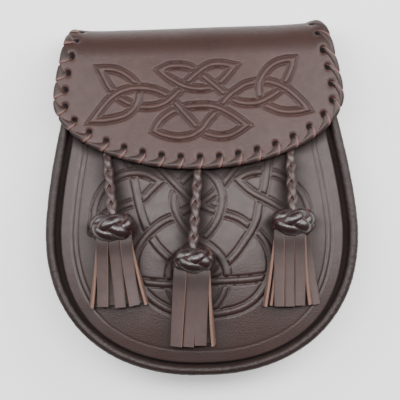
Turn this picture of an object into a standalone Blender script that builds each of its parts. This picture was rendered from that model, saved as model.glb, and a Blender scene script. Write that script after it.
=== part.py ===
"""Sporran pouch of embossed brown leather, lying on its back with its flap closed.

+Z is the front of the pouch, +Y its folded top and +X the right side as it is worn, seen from the
front. The origin is on the floor under the middle of the whole. Metres.
"""

import math
from types import SimpleNamespace

import bmesh
import bpy
import numpy as np
from mathutils import Matrix, Vector

GAP = 0.0003  # left between pieces that touch

# Outline of the pouch, over the front welt: a superellipse below its widest line, and above it
# sides that lean in by taper where they reach the mouth.
BODY = SimpleNamespace(wide=0.0900, low=0.0823, widest_y=-0.0188, power_x=2.25, power_y=2.25,
                       taper=0.0208, taper_run=0.1034, taper_power=1.5)
MOUTH_Y = 0.0826  # upper ends of the gusset and of both welts
PANEL_TOP_Y = 0.0765  # upper edge of the front panel, under the flap

# Seams. The front one comes nearer the back towards the mouth, so the pouch is a wedge.
BACK_SEAM_Z = 0.0075
FRONT_SEAM_Z = 0.0420  # at the bottom of the pouch
FRONT_SEAM_FALL = 0.0765  # for each metre up
WELT_RADIUS = 0.0030
TONGUE = SimpleNamespace(inner=0.0090, thick=0.0012, front_off=0.0007, back_off=0.0014)
PANEL_REST = 0.0001  # underside of the front panel's rim over the roll's middle
GROOVE = 0.0022  # between the front roll and the front panel

WALL = 0.0022  # gusset and back panel
PANEL_WALL = 0.0024
PANEL_CENTRE = (0.0, -0.0095)
DOME = 0.0080  # of the front panel
DOME_POWER = 2.2

# Flap. Its outline is flat: x across, run up the front from the line of its two corners, over
# the fold and down the back.
FLAP = SimpleNamespace(wide=0.0832, low=0.0400, power_x=2.0, power_y=1.85,
                       taper=0.0223, taper_run=0.0760, taper_power=1.45)
FLAP_WALL = 0.0024
CORNER_Y = 0.0579
FOLD_Y = 0.0826  # the front is straight up to here
FOLD_Z = 0.0369  # height of its outer face there
FLAP_RISE = 0.184  # towards its lower edge
FLAP_DROP = 0.0021  # of its sides below its middle at the fold
FLAP_DROP_RISE = 0.085  # and how that grows towards the lower edge
FOLD_HANDLE = 0.0226
FOLD_FLARE = 0.0022  # the sides of the fold stand a little further up
FOLD_RUN = 0.0530  # length of leather in the fold
TAIL_Z = 0.0037
TAIL_RUN = 0.0200

# Lacing of the flap's edge
HOLE_RADIUS = 0.00145
HOLE_INSET = 0.0060
HOLES_EACH_SIDE = 14
LOW_HOLES = 7  # of them along the lower edge
LOW_PITCH = 0.0110
SIDE_PITCH = 0.00985
LACE_RADIUS = 0.0006

# Tassels: where the braid leaves the flap, the knot's middle, sizes and the skirt's lower end
TASSELS = (
    SimpleNamespace(name="left", braid=(-0.0530, 0.0262), knot=(-0.0504, -0.0149), wide=0.0250,
                    tall=0.0152, skirt_end=-0.0600, skirt_x=-0.0493, skirt_wide=0.0345),
    SimpleNamespace(name="middle", braid=(-0.0013, 0.0175), knot=(-0.0046, -0.0343), wide=0.0242,
                    tall=0.0140, skirt_end=-0.0835, skirt_x=-0.0057, skirt_wide=0.0268),
    SimpleNamespace(name="right", braid=(0.0528, 0.0265), knot=(0.0531, -0.0137), wide=0.0244,
                    tall=0.0145, skirt_end=-0.0620, skirt_x=0.0512, skirt_wide=0.0325),
)
KNOT_FLATTENED = 0.76  # depth over width of a knot that lies on the panel
BRAID_RADIUS = 0.0025
NECK_RADIUS = 0.0010
STRIP_WALL = 0.0018
# The plug that a knot holds, its radii as shares of the knot's, and the strips on it in two layers
PLUG = SimpleNamespace(length=0.0080, top=0.68, low=0.80, strips=0.62)
LAYERS = (
    SimpleNamespace(count=6, height=0.0062, tip=0.0066, lift=0.0022, gap=0.0007),
    SimpleNamespace(count=5, height=-0.0040, tip=0.0022, lift=0.0, gap=0.0009),
)

# Back: two loops for a strap or belt
LOOP = SimpleNamespace(x=0.045, wide=0.022, low_y=-0.036, high_y=0.056, tab=0.009, bend=0.005,
                       thick=0.0020)
BACK_Z = BACK_SEAM_Z - WALL / 2  # outer face of the back panel

STUD = SimpleNamespace(y=0.032, radius=0.0055, height=0.0024)

BROWN = (0.075, 0.039, 0.032)
DARK_BROWN = (0.045, 0.024, 0.020)
LACE_BROWN = (0.110, 0.048, 0.038)
STEEL = (0.35, 0.34, 0.33)


def clear_scene():
    """Removes every object, and the collections that held them."""
    for obj in list(bpy.data.objects):
        bpy.data.objects.remove(obj)
    for collection in list(bpy.data.collections):
        bpy.data.collections.remove(collection)


def new_collection(name, hidden=False):
    """A collection under the scene's own."""
    collection = bpy.data.collections.new(name)
    collection.hide_render = hidden
    bpy.context.scene.collection.children.link(collection)
    return collection


def finish(name, colour, roughness, metallic=0.0):
    """A plain Principled material."""
    material = bpy.data.materials.new(name)
    material.use_nodes = True
    shader = material.node_tree.nodes["Principled BSDF"]
    shader.inputs["Base Color"].default_value = (*colour, 1.0)
    shader.inputs["Roughness"].default_value = roughness
    shader.inputs["Metallic"].default_value = metallic
    return material


def add_object(name, data, collection, material=None):
    """An object that shows data, in this collection and with this material."""
    obj = bpy.data.objects.new(name, data)
    collection.objects.link(obj)
    if material:
        data.materials.append(material)
    return obj


def helper(name, data, collection):
    """A cutter or guide, which is never rendered."""
    obj = add_object(name, data, collection)
    obj.hide_render = True
    obj.display_type = "WIRE"
    return obj


def smooth(mesh):
    """Shades a mesh smooth but for its sharp edges."""
    mesh.shade_smooth()
    mesh.set_sharp_from_angle(angle=math.radians(35))


# ---------------------------------------------------------------- outlines and surfaces

def u_outline(shape, centre_y, top_run, inset=0.0):
    """Dense points of a pouch outline, from its left top end round the bottom to its right one.

    Below centre_y it is a superellipse, and above it the sides lean in with a power of the height.
    """
    rise = np.linspace(top_run, 0, 160)
    side_x = shape.wide - shape.taper * np.minimum(rise / shape.taper_run, 1) ** shape.taper_power
    turn = np.linspace(0, math.pi / 2, 320)[1:]
    low_x = shape.wide * np.maximum(np.cos(turn), 0) ** (2 / shape.power_x)
    low_y = -shape.low * np.sin(turn) ** (2 / shape.power_y)
    right = np.stack([np.append(side_x, low_x), centre_y + np.append(rise, low_y)], axis=1)
    points = np.concatenate([right * (-1, 1), right[-2::-1]])
    run = np.gradient(points, axis=0)
    run /= np.linalg.norm(run, axis=1)[:, None]
    return points + inset * np.stack([-run[:, 1], run[:, 0]], axis=1)


def lengths(points):
    """Distance of each point from the first, along the line."""
    return np.append(0, np.cumsum(np.linalg.norm(np.diff(points, axis=0), axis=1)))


def at_length(points, where):
    """The points at these distances along a line."""
    along = lengths(points)
    return np.stack([np.interp(where, along, points[:, k]) for k in range(2)], axis=-1)


def body_outline(inset, top_y=MOUTH_Y):
    """Outline of the pouch, this far inside the outer edge of its front welt."""
    return u_outline(BODY, BODY.widest_y, top_y - BODY.widest_y, inset)


def front_seam(y):
    """Height of the front roll's middle."""
    bottom = BODY.widest_y - BODY.low
    return FRONT_SEAM_Z - FRONT_SEAM_FALL * (y - bottom)


PANEL_INSET = 2 * WELT_RADIUS + GROOVE
PANEL_RIM = body_outline(PANEL_INSET, PANEL_TOP_Y)


def panel_level(x, y):
    """How far out a place on the front panel is: 0 at its centre, 1 at its rim."""
    rays = PANEL_RIM - PANEL_CENTRE
    angles = np.unwrap(np.arctan2(rays[:, 0], -rays[:, 1]))
    angle = math.atan2(x - PANEL_CENTRE[0], PANEL_CENTRE[1] - y)
    reach = math.hypot(x - PANEL_CENTRE[0], y - PANEL_CENTRE[1])
    if angles[0] < angle < angles[-1]:
        return reach / np.interp(angle, angles, np.linalg.norm(rays, axis=1))
    return (y - PANEL_CENTRE[1]) / (PANEL_RIM[0, 1] - PANEL_CENTRE[1])


def panel_face(x, y):
    """Height of the front panel's outer face: its seam and a dome that is flattest in the middle."""
    dome = DOME * (1 - min(panel_level(x, y), 1) ** DOME_POWER)
    return front_seam(y) + PANEL_REST + PANEL_WALL + dome


def flap_half_width(run):
    """Half the flap's width at this run above its corners."""
    return FLAP.wide - FLAP.taper * min(max(run, 0) / FLAP.taper_run, 1) ** FLAP.taper_power


def flap_point(x, run):
    """A place on the flap's outer face, from its flat place.

    The front is a plane that rises to the lower edge, less a parabola that drops its sides. The
    fold is one Bezier arc from there to the tail.
    """
    side = (x / flap_half_width(run)) ** 2
    front_run = FOLD_Y - CORNER_Y
    if run <= front_run:
        below = front_run - run
        drop = (FLAP_DROP + FLAP_DROP_RISE * below) * side
        return Vector((x, FOLD_Y - below, FOLD_Z + FLAP_RISE * below - drop))
    start = Vector((x, FOLD_Y, FOLD_Z - FLAP_DROP * side))
    lean = FLAP_RISE - FLAP_DROP_RISE * side
    handle = FOLD_HANDLE + FOLD_FLARE * side ** 4
    end = Vector((x, FOLD_Y, TAIL_Z))
    t = (run - front_run) / FOLD_RUN
    if t >= 1:
        return end - Vector((0, run - front_run - FOLD_RUN, 0))
    first = start + Vector((0, handle, -handle * lean))
    second = end + Vector((0, handle, 0))
    return ((1 - t) ** 3 * start + 3 * t * (1 - t) ** 2 * first
            + 3 * t ** 2 * (1 - t) * second + t ** 3 * end)


FLAP_TOP_RUN = FOLD_Y - CORNER_Y + FOLD_RUN + TAIL_RUN
FLAP_EDGE = u_outline(FLAP, 0.0, FLAP_TOP_RUN)


def flap_spot(arc, inset):
    """The flap's outer face at this distance along its edge from the middle of the lower edge,
    counted up the right side, and this far in from the edge."""
    edge = u_outline(FLAP, 0.0, FLAP_TOP_RUN, inset)
    middle = lengths(edge)[-1] / 2
    scale = lengths(edge)[-1] / lengths(FLAP_EDGE)[-1]
    x, run = at_length(edge, middle + arc * scale)
    return flap_point(float(x), float(run))


def flap_frame(arc, inset):
    """A place on the flap's outer face, with its directions: to the edge and out of the leather."""
    step = 0.0004
    along = flap_spot(arc + step, inset) - flap_spot(arc - step, inset)
    outward = (flap_spot(arc, inset - step) - flap_spot(arc, inset + step)).normalized()
    return flap_spot(arc, inset), outward, outward.cross(along).normalized()


def hole_arc(number):
    """Distance of a lacing hole along the flap's edge from the middle one, number 0."""
    count = abs(number)
    arc = LOW_PITCH * min(count, LOW_HOLES) + SIDE_PITCH * max(count - LOW_HOLES, 0)
    inner = lengths(u_outline(FLAP, 0.0, FLAP_TOP_RUN, HOLE_INSET))[-1]
    return float(math.copysign(arc, number) * lengths(FLAP_EDGE)[-1] / inner)


# ---------------------------------------------------------------- makers

def warped_grid(columns, rows, place):
    """A grid primitive, u and v each from -1 to 1, moved to place(u, v)."""
    cage = bmesh.new()
    bmesh.ops.create_grid(cage, x_segments=columns, y_segments=rows, size=1)
    reach = max(vert.co.x for vert in cage.verts)
    for vert in cage.verts:
        vert.co = place(vert.co.x / reach, vert.co.y / reach)
    mesh = bpy.data.meshes.new("sheet")
    cage.to_mesh(mesh)
    cage.free()
    return mesh


def leather_wall(name, sheet, thickness, offset, collection, material):
    """A wall of leather from an open sheet: offset -1 grows it behind its faces, 1 before them."""
    obj = add_object(name, sheet, collection, material)
    sheet.name = name
    smooth(sheet)
    wall = obj.modifiers.new("wall", "SOLIDIFY")
    wall.thickness = thickness
    wall.offset = offset
    wall.use_even_offset = True
    return obj


def rim_point(rim, u, v):
    """Where the ray through (u, v) meets the rim of a D-shaped panel: the upper side of the square
    is its straight top edge, and the other three share its U evenly."""
    level = max(abs(u), abs(v))
    u, v = u / level, v / level
    if v > 1 - 1e-6:
        return (1 - u) / 2 * rim[0] + (1 + u) / 2 * rim[-1]
    if u < -1 + 1e-6:
        share = (1 - v) / 2
    elif u > 1 - 1e-6:
        share = 2 + (1 + v) / 2
    else:
        share = 1 + (1 + u) / 2
    return at_length(rim, share / 3 * lengths(rim)[-1])


def panel_place(rim, u, v):
    """A place on a D-shaped panel whose grid runs in rings round its centre."""
    level = max(abs(u), abs(v))
    centre = np.array(PANEL_CENTRE)
    return centre if level < 1e-6 else centre + level * (rim_point(rim, u, v) - centre)


def tube(name, points, radius, collection, material=None, sides=8, thickness=None):
    """A POLY curve with a round section and filled ends; thickness scales it at each point."""
    curve = bpy.data.curves.new(name, "CURVE")
    curve.dimensions = "3D"
    curve.bevel_depth = radius
    curve.bevel_resolution = (sides - 4) // 2
    curve.use_fill_caps = True
    spline = curve.splines.new("POLY")
    spline.points.add(len(points) - 1)
    for index, (target, point) in enumerate(zip(spline.points, points)):
        target.co = (*point, 1)
        target.radius = thickness[index] if thickness else 1.0
    return add_object(name, curve, collection, material)


def as_mesh(obj):
    """The object again as a mesh, its modifiers applied and its caps welded; the first is removed."""
    graph = bpy.context.evaluated_depsgraph_get()
    mesh = bpy.data.meshes.new_from_object(obj.evaluated_get(graph))
    welded = bmesh.new()
    welded.from_mesh(mesh)
    bmesh.ops.remove_doubles(welded, verts=welded.verts, dist=0.000001)
    bmesh.ops.recalc_face_normals(welded, faces=welded.faces)
    welded.to_mesh(mesh)
    welded.free()
    name, matrix, collection = obj.name, obj.matrix_world.copy(), obj.users_collection[0]
    bpy.data.objects.remove(obj)
    made = add_object(name, mesh, collection)
    made.matrix_world = matrix
    return made


# ---------------------------------------------------------------- pieces of the pouch

def back_panel(parts, material):
    """The flat back wall, whose rim lies beside the back roll."""
    rim = body_outline(2 * WELT_RADIUS + 1.5 * GAP)

    def place(u, v):
        x, y = panel_place(rim, u, v)
        return x, y, BACK_Z

    return leather_wall("back_panel", warped_grid(9, 9, place), WALL, 1, parts, material)


def front_panel(parts, material):
    """The domed front wall, whose rim lies on the front roll's tongue."""
    def place(u, v):
        x, y = panel_place(PANEL_RIM, u, v)
        return x, y, panel_face(x, y)

    sheet = warped_grid(16, 16, place)
    return leather_wall("front_panel", sheet, PANEL_WALL, -1, parts, material)


def gusset(parts, material):
    """The wall round the sides and bottom, between the two rolls."""
    clear = WELT_RADIUS + 0.0001
    line = body_outline(WELT_RADIUS + 0.0012)

    def place(u, v):
        x, y = at_length(line, (1 + u) / 2 * lengths(line)[-1])
        low, high = BACK_SEAM_Z + clear, front_seam(y) - clear
        return x, y, low + (1 + v) / 2 * (high - low)

    return leather_wall("gusset", warped_grid(44, 1, place), WALL, -1, parts, material)


def welt_profile(name, tongue_side, off, guides):
    """Section of a rolled welt: a round roll with its flat tongue, which points to -X.

    tongue_side is -1 for a tongue below the roll's middle, and 1 for one above it, and off is how
    far from the middle it lies.
    """
    low, high = sorted((tongue_side * off, tongue_side * (off + TONGUE.thick)))
    start, end = (math.pi - math.asin(z / WELT_RADIUS) for z in (high, low))
    turn = np.linspace(end - 2 * math.pi, start, 9)
    points = [(WELT_RADIUS * math.cos(a), WELT_RADIUS * math.sin(a)) for a in turn]
    points += [(-TONGUE.inner, high), (-TONGUE.inner, low)]
    curve = bpy.data.curves.new(name, "CURVE")
    curve.dimensions = "2D"
    spline = curve.splines.new("POLY")
    spline.points.add(len(points) - 1)
    for target, (x, z) in zip(spline.points, points):
        target.co = (x, z, 0, 1)
    spline.use_cyclic_u = True
    return helper(name, curve, guides)


def welt(name, height, tongue_side, off, parts, guides, material):
    """A roll swept round the pouch: its section carried along the seam, upright all the way."""
    line = body_outline(WELT_RADIUS)
    spots = at_length(line, np.linspace(0, lengths(line)[-1], 45))
    curve = bpy.data.curves.new(name, "CURVE")
    curve.dimensions = "3D"
    curve.twist_mode = "Z_UP"
    curve.bevel_mode = "OBJECT"
    curve.bevel_object = welt_profile(name + "_section", tongue_side, off, guides)
    curve.use_fill_caps = True
    spline = curve.splines.new("POLY")
    spline.points.add(len(spots) - 1)
    for target, (x, y) in zip(spline.points, spots):
        target.co = (x, y, height(y), 1)
    return as_mesh(add_object(name, curve, parts, material))


def flap(parts, cutters, material):
    """The flap's leather, with a punched hole for each stitch of the lace."""
    front_rows, fold_rows, tail_rows = 7, 8, 1
    rows = front_rows + fold_rows + tail_rows
    front_run = FOLD_Y - CORNER_Y

    def place(u, v):
        share = math.sin(u * math.pi / 2)
        row = (1 + v) / 2 * rows
        if row <= front_rows:
            low = -FLAP.low * max(1 - abs(share) ** FLAP.power_x, 0) ** (1 / FLAP.power_y)
            run = low + row / front_rows * (front_run - low)
        elif row <= front_rows + fold_rows:
            run = front_run + (row - front_rows) / fold_rows * FOLD_RUN
        else:
            run = front_run + FOLD_RUN + (row - front_rows - fold_rows) / tail_rows * TAIL_RUN
        return flap_point(share * flap_half_width(run), run)

    obj = leather_wall("flap", warped_grid(20, rows, place), FLAP_WALL, -1, parts, material)
    punched = obj.modifiers.new("lacing holes", "BOOLEAN")
    punched.operation = "DIFFERENCE"
    punched.object = punches(cutters)
    return obj


def punches(cutters):
    """The cutters of all the lacing holes, square to the leather."""
    cage = bmesh.new()
    for number in range(-HOLES_EACH_SIDE, HOLES_EACH_SIDE + 1):
        spot, _, out = flap_frame(hole_arc(number), HOLE_INSET)
        turn = out.to_track_quat("Z", "Y").to_matrix().to_4x4()
        bmesh.ops.create_cone(cage, cap_ends=True, segments=8, radius1=HOLE_RADIUS,
                              radius2=HOLE_RADIUS, depth=4 * FLAP_WALL,
                              matrix=Matrix.Translation(spot) @ turn)
    mesh = bpy.data.meshes.new("lacing_punches")
    cage.to_mesh(mesh)
    cage.free()
    return helper("lacing_punches", mesh, cutters)


# A stitch of the lace, as the share of the way to the next hole, the distance in from the edge
# and the height over the leather's outer face, in its turns round the edge.
STITCH = (
    SimpleNamespace(share=0.00, inset=HOLE_INSET, height=-FLAP_WALL / 2),
    SimpleNamespace(share=0.00, inset=HOLE_INSET, height=0.0010),
    SimpleNamespace(share=0.30, inset=0.0030, height=0.0011),
    SimpleNamespace(share=0.50, inset=-0.0002, height=0.0011),
    SimpleNamespace(share=0.52, inset=-0.0013, height=-0.0003),
    SimpleNamespace(share=0.54, inset=-0.0013, height=-FLAP_WALL + 0.0003),
    SimpleNamespace(share=0.56, inset=-0.0002, height=-FLAP_WALL - 0.0011),
    SimpleNamespace(share=0.80, inset=0.0032, height=-FLAP_WALL - 0.0011),
    SimpleNamespace(share=1.00, inset=HOLE_INSET, height=-FLAP_WALL - 0.0010),
)


def flap_lace(parts, material):
    """The lace, whip-stitched clockwise round the flap's edge from the fold's right end."""
    points = []
    for number in range(HOLES_EACH_SIDE, -HOLES_EACH_SIDE, -1):
        here, following = hole_arc(number), hole_arc(number - 1)
        for turn in STITCH:
            arc = here + turn.share * (following - here)
            spot, _, out = flap_frame(arc, turn.inset)
            points.append(spot + turn.height * out)
    return tube("flap_lace", points, LACE_RADIUS, parts, material, sides=4)


# ---------------------------------------------------------------- tassels

def knot_middle(tassel):
    """The middle of a knot that lies on the front panel."""
    depth = KNOT_FLATTENED * tassel.wide
    x, y = tassel.knot
    return Vector((x, y, panel_face(x, y) + 2 * GAP + depth / 2))


def knot(tassel, parts, material):
    """The woven knot: a turned barrel with a waist, lying along Y and pressed a little flat."""
    radius, half = tassel.wide / 2, tassel.tall / 2
    shares = ((0.42, 1.0), (0.74, 0.94), (0.98, 0.55), (0.94, 0.10), (1.0, -0.35), (0.86, -0.85),
              (0.70, -1.0))
    mesh = bpy.data.meshes.new("knot_" + tassel.name)
    line = [(0, 0, half)] + [(r * radius, 0, z * half) for r, z in shares] + [(0, 0, -half)]
    mesh.from_pydata(line, [(i, i + 1) for i in range(len(line) - 1)], [])
    obj = add_object("knot_" + tassel.name, mesh, parts, material)
    turned = obj.modifiers.new("turned", "SCREW")
    turned.steps = turned.render_steps = 16
    turned.use_merge_vertices = True
    turned.merge_threshold = 0.0001
    turned.use_smooth_shade = True
    obj.location = knot_middle(tassel)
    obj.scale = (1, KNOT_FLATTENED, 1)
    obj.rotation_euler = (-math.pi / 2, 0, 0)
    return obj


def braid(tassel, parts, material):
    """The round braid, from under the flap's edge to the top of its knot.

    It bulges once for each crossing of its strands, and its first end is a thin neck.
    """
    x, edge_y = tassel.braid
    middle = knot_middle(tassel)
    edge_run = edge_y - CORNER_Y
    under = flap_point(x, edge_run).z - FLAP_WALL - 2 * GAP - 1.2 * NECK_RADIUS
    start = Vector((x, edge_y + 0.0010, under))
    first = Vector((x, edge_y - 0.0055, panel_face(x, edge_y - 0.0055) + GAP + 1.1 * BRAID_RADIUS))
    end = Vector((middle.x, middle.y + tassel.tall / 2 + 2 * GAP, middle.z))
    steps = 15
    points, sizes = [start], [NECK_RADIUS / BRAID_RADIUS]
    for step in range(steps + 1):
        share = step / steps
        point = first.lerp(end, share)
        point.z = first.z + (end.z - first.z) * share * share * (3 - 2 * share)
        points.append(point)
        sizes.append((1.06, 0.90)[step % 2])
    sizes[1] = 0.75
    return tube("braid_" + tassel.name, points, BRAID_RADIUS, parts, material, 8, sizes)


def strip(root, tip, width, lift):
    """One cut strip: a slab that narrows nowhere, bowed up by lift between root and tip."""
    def place(u, v):
        share = (1 + v) / 2
        point = root.lerp(tip, share)
        point.x += u * width / 2
        point.z += lift * math.sin(math.pi * share)
        return point

    return warped_grid(1, 3, place)


def fringe(tassel, parts, material):
    """A skirt of cut strips in two layers, fused to the plug that the knot holds."""
    middle = knot_middle(tassel)
    radius = tassel.wide / 2
    top_y = middle.y - tassel.tall / 2 - GAP
    name = "fringe_" + tassel.name
    plug = bmesh.new()
    bmesh.ops.create_cone(plug, cap_ends=True, segments=16, radius1=PLUG.low * radius,
                          radius2=PLUG.top * radius, depth=PLUG.length,
                          matrix=Matrix.Rotation(-math.pi / 2, 4, "X"))
    bmesh.ops.scale(plug, vec=(1, 1, KNOT_FLATTENED), verts=plug.verts)
    bmesh.ops.translate(plug, vec=(middle.x, top_y - PLUG.length / 2, middle.z), verts=plug.verts)
    mesh = bpy.data.meshes.new(name)
    plug.to_mesh(mesh)
    plug.free()
    obj = add_object(name, mesh, parts, material)
    for layer in LAYERS:
        for number in range(layer.count):
            side = 2 * (number + 0.5) / layer.count - 1
            tip_x = tassel.skirt_x + side * tassel.skirt_wide / 2
            tip_y = tassel.skirt_end + 0.0012 * ((3 * number) % 4)
            width = tassel.skirt_wide / layer.count - layer.gap
            root = Vector((middle.x + side * PLUG.strips * radius, top_y - 0.0030,
                           middle.z + layer.height * (1 - 0.35 * side * side)))
            tip = Vector((tip_x, tip_y, 0))
            tip.z = layer.tip + max(panel_face(tip_x, y) for y in (tip_y, tip_y + 0.02, tip_y + 0.03))
            cut = as_mesh(leather_wall(f"{name}_strip", strip(root, tip, width, layer.lift),
                                       STRIP_WALL, -1, parts, None))
            cut.hide_render = True
            joined = obj.modifiers.new("strip", "BOOLEAN")
            joined.operation = "UNION"
            joined.object = cut
    return bake(obj)


def bake(obj):
    """Applies an object's Booleans and removes what they joined."""
    tools = [modifier.object for modifier in obj.modifiers]
    material = obj.data.materials[0]
    made = as_mesh(obj)
    made.data.materials.clear()
    made.data.materials.append(material)
    for tool in tools:
        bpy.data.objects.remove(tool)
    return made


# ---------------------------------------------------------------- back and closure

def strap_loop(side, name, parts, material):
    """A strap of leather, its two ends on the back panel and its middle flat on the floor."""
    seat = BACK_Z - GAP - LOOP.thick
    length = LOOP.high_y - LOOP.low_y

    def place(u, v):
        y = LOOP.low_y + (1 + v) / 2 * length
        from_end = min(y - LOOP.low_y, LOOP.high_y - y)
        share = min(max((from_end - LOOP.tab) / LOOP.bend, 0), 1)
        return side * LOOP.x + u * LOOP.wide / 2, y, seat * (1 - share * share * (3 - 2 * share))

    rows = 46
    return leather_wall(name, warped_grid(1, rows, place), LOOP.thick, 1, parts, material)


def press_stud(parts, material):
    """The closing stud, a plain turned disc between the front panel and the flap."""
    low, high = panel_face(0, STUD.y), flap_point(0, STUD.y - CORNER_Y).z - FLAP_WALL
    mesh = bpy.data.meshes.new("press_stud")
    cage = bmesh.new()
    bmesh.ops.create_cone(cage, cap_ends=True, segments=20, radius1=STUD.radius,
                          radius2=0.8 * STUD.radius, depth=STUD.height)
    cage.to_mesh(mesh)
    cage.free()
    obj = add_object("press_stud", mesh, parts, material)
    obj.location = (0, STUD.y, (low + high) / 2)
    obj.rotation_euler = (-math.atan(FLAP_RISE), 0, 0)
    return obj


def main():
    """Builds every piece of the pouch."""
    clear_scene()
    parts = new_collection("sporran_pouch")
    cutters = new_collection("cutters", hidden=True)
    brown = finish("brown leather", BROWN, 0.42)
    dark = finish("dark rolled leather", DARK_BROWN, 0.30)
    lace = finish("lace leather", LACE_BROWN, 0.50)
    steel = finish("stud steel", STEEL, 0.35, 1.0)
    back_panel(parts, brown)
    front_panel(parts, brown)
    gusset(parts, brown)
    welt("front_welt", front_seam, -1, TONGUE.front_off, parts, cutters, dark)
    welt("back_welt", lambda y: BACK_SEAM_Z, 1, TONGUE.back_off, parts, cutters, dark)
    flap(parts, cutters, brown)
    flap_lace(parts, lace)
    for tassel in TASSELS:
        braid(tassel, parts, lace)
        knot(tassel, parts, dark)
        fringe(tassel, parts, brown)
    strap_loop(-1, "strap_loop_left", parts, brown)
    strap_loop(1, "strap_loop_right", parts, brown)
    press_stud(parts, steel)


main()
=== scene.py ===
"""Looks of a sporran pouch: tooled leather, laced flap, plaits, woven knots and cut fringes.

Lengths are in metres. +Z is the front of the pouch, +Y its folded top and +X its right side.
"""

from __future__ import annotations

import logging
import math
from dataclasses import dataclass, field
from enum import Enum
from typing import Callable, Iterable, Union

import bpy
import numpy as np
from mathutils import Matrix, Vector


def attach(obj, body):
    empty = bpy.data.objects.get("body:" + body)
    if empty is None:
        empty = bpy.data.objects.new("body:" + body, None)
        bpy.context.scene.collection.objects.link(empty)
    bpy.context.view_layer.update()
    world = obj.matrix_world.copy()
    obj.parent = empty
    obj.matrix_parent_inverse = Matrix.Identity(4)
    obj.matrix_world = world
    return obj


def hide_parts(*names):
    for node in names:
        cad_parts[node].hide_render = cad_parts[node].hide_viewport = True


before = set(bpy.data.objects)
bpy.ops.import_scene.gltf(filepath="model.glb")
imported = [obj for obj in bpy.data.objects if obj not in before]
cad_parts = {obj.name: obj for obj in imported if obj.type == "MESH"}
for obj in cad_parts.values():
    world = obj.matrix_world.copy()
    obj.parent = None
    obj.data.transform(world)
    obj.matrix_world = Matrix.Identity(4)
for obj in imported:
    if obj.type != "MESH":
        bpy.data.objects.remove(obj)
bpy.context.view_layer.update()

BODY = "root"
COARSE = 3  # lines of a wall's outer face for one of its inner face
LOG = logging.getLogger("sporran")

Array = np.ndarray
Colour = tuple[float, float, float, float]


# ---- arithmetic on arrays

def unit(vectors: Array) -> Array:
    """Returns the vectors scaled to length 1."""
    return vectors / np.maximum(np.linalg.norm(vectors, axis=-1, keepdims=True), 1e-12)


def smoothstep(low: float, high: float, value: Array) -> Array:
    """Returns 0 below low, 1 above high and 3t² - 2t³ between them."""
    share = np.clip((value - low) / (high - low), 0, 1)
    return share * share * (3 - 2 * share)


def hill(value: Array, reach: float) -> Array:
    """Returns a bell exp(-(value / reach)²)."""
    return np.exp(-(value / reach) ** 2)


def lengths(line: Array) -> Array:
    """Returns the distance of each point from the first, along the line."""
    return np.append(0, np.cumsum(np.linalg.norm(np.diff(line, axis=0), axis=1)))


def at_length(line: Array, where: Array) -> Array:
    """Returns the points at these distances along a line."""
    along = lengths(line)
    return np.stack([np.interp(where, along, column) for column in line.T], axis=-1)


def smooth_line(points: Array, step: float) -> Array:
    """Carries a Catmull-Rom spline through points.

    Args:
        points: its own points, n by 2 or 3.
        step: distance between the points that come back.

    Returns:
        Points on the spline, evenly spaced.
    """
    points = np.asarray(points, float)
    samples = 24
    ends = np.vstack([2 * points[0] - points[1], points, 2 * points[-1] - points[-2]])
    before, start, end, after = (ends[k:len(ends) - 3 + k, None] for k in range(4))
    t = np.linspace(0, 1, samples, endpoint=False)[None, :, None]
    line = 0.5 * (2 * start + (end - before) * t
                  + (2 * before - 5 * start + 4 * end - after) * t ** 2
                  + (3 * start - before - 3 * end + after) * t ** 3)
    line = np.vstack([line.reshape(-1, points.shape[1]), points[-1]])
    count = max(int(round(lengths(line)[-1] / step)), 2)
    return at_length(line, np.linspace(0, lengths(line)[-1], count + 1))


def mottle(across: Array, along: Array, seed: int) -> Array:
    """Value noise from -1 to 1 whose cells are 1 wide: random heights on a square lattice, blended
    by 3t² - 2t³ between its points.

    Args:
        across: first coordinate of each place.
        along: second coordinate.
        seed: picks the lattice's heights.
    """
    size = 256
    heights = np.random.default_rng(seed).uniform(-1, 1, (size, size))
    column, row = np.floor(across).astype(int), np.floor(along).astype(int)
    s, t = smoothstep(0, 1, across - column), smoothstep(0, 1, along - row)
    a, b = column % size, row % size
    c, d = (column + 1) % size, (row + 1) % size
    return ((heights[a, b] * (1 - s) + heights[c, b] * s) * (1 - t)
            + (heights[a, d] * (1 - s) + heights[c, d] * s) * t)


def waves(across: Array, along: Array, *, depth: float, size: float, seed: int) -> Array:
    """Returns uneven leather: value noise this deep, with hills of this size."""
    return depth * mottle(across / size, along / size, seed)


def rounded(inset: Array, radius: float) -> Array:
    """Returns how far a rounded edge falls: r - √(r² - (r - d)²) at the distance d inside it."""
    return radius - np.sqrt(np.maximum(radius ** 2 - np.maximum(radius - inset, 0) ** 2, 0))


def leftward(line: Array) -> Array:
    """Returns the directions square to a flat line, on its left."""
    run = unit(np.gradient(line, axis=0))
    return np.stack([-run[:, 1], run[:, 0]], axis=1)


def near_line(spots: Array, line: Array) -> tuple[Array, Array]:
    """Finds the nearest place of a line for each spot, by its distance to every straight piece,
    some spots at a time to spare memory.

    Args:
        spots: places, n by 2.
        line: points of an open line, m by 2.

    Returns:
        The distance from the line, positive on its left, and the length along it.
    """
    starts, run = line[:-1], np.diff(line, axis=0)
    square = np.maximum((run ** 2).sum(1), 1e-18)
    before = lengths(line)[:-1]
    side, along = np.empty(len(spots)), np.empty(len(spots))
    chunk = 3000
    for first in range(0, len(spots), chunk):
        gap = spots[first:first + chunk, None] - starts
        share = np.clip((gap * run).sum(2) / square, 0, 1)
        off = gap - share[..., None] * run
        reach = (off ** 2).sum(2)
        best = reach.argmin(1)
        rows = np.arange(len(best))
        turn = run[best, 0] * off[rows, best, 1] - run[best, 1] * off[rows, best, 0]
        side[first:first + chunk] = np.sqrt(reach[rows, best]) * np.where(turn < 0, -1, 1)
        along[first:first + chunk] = before[best] + share[rows, best] * np.sqrt(square[best])
    return side, along


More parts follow.
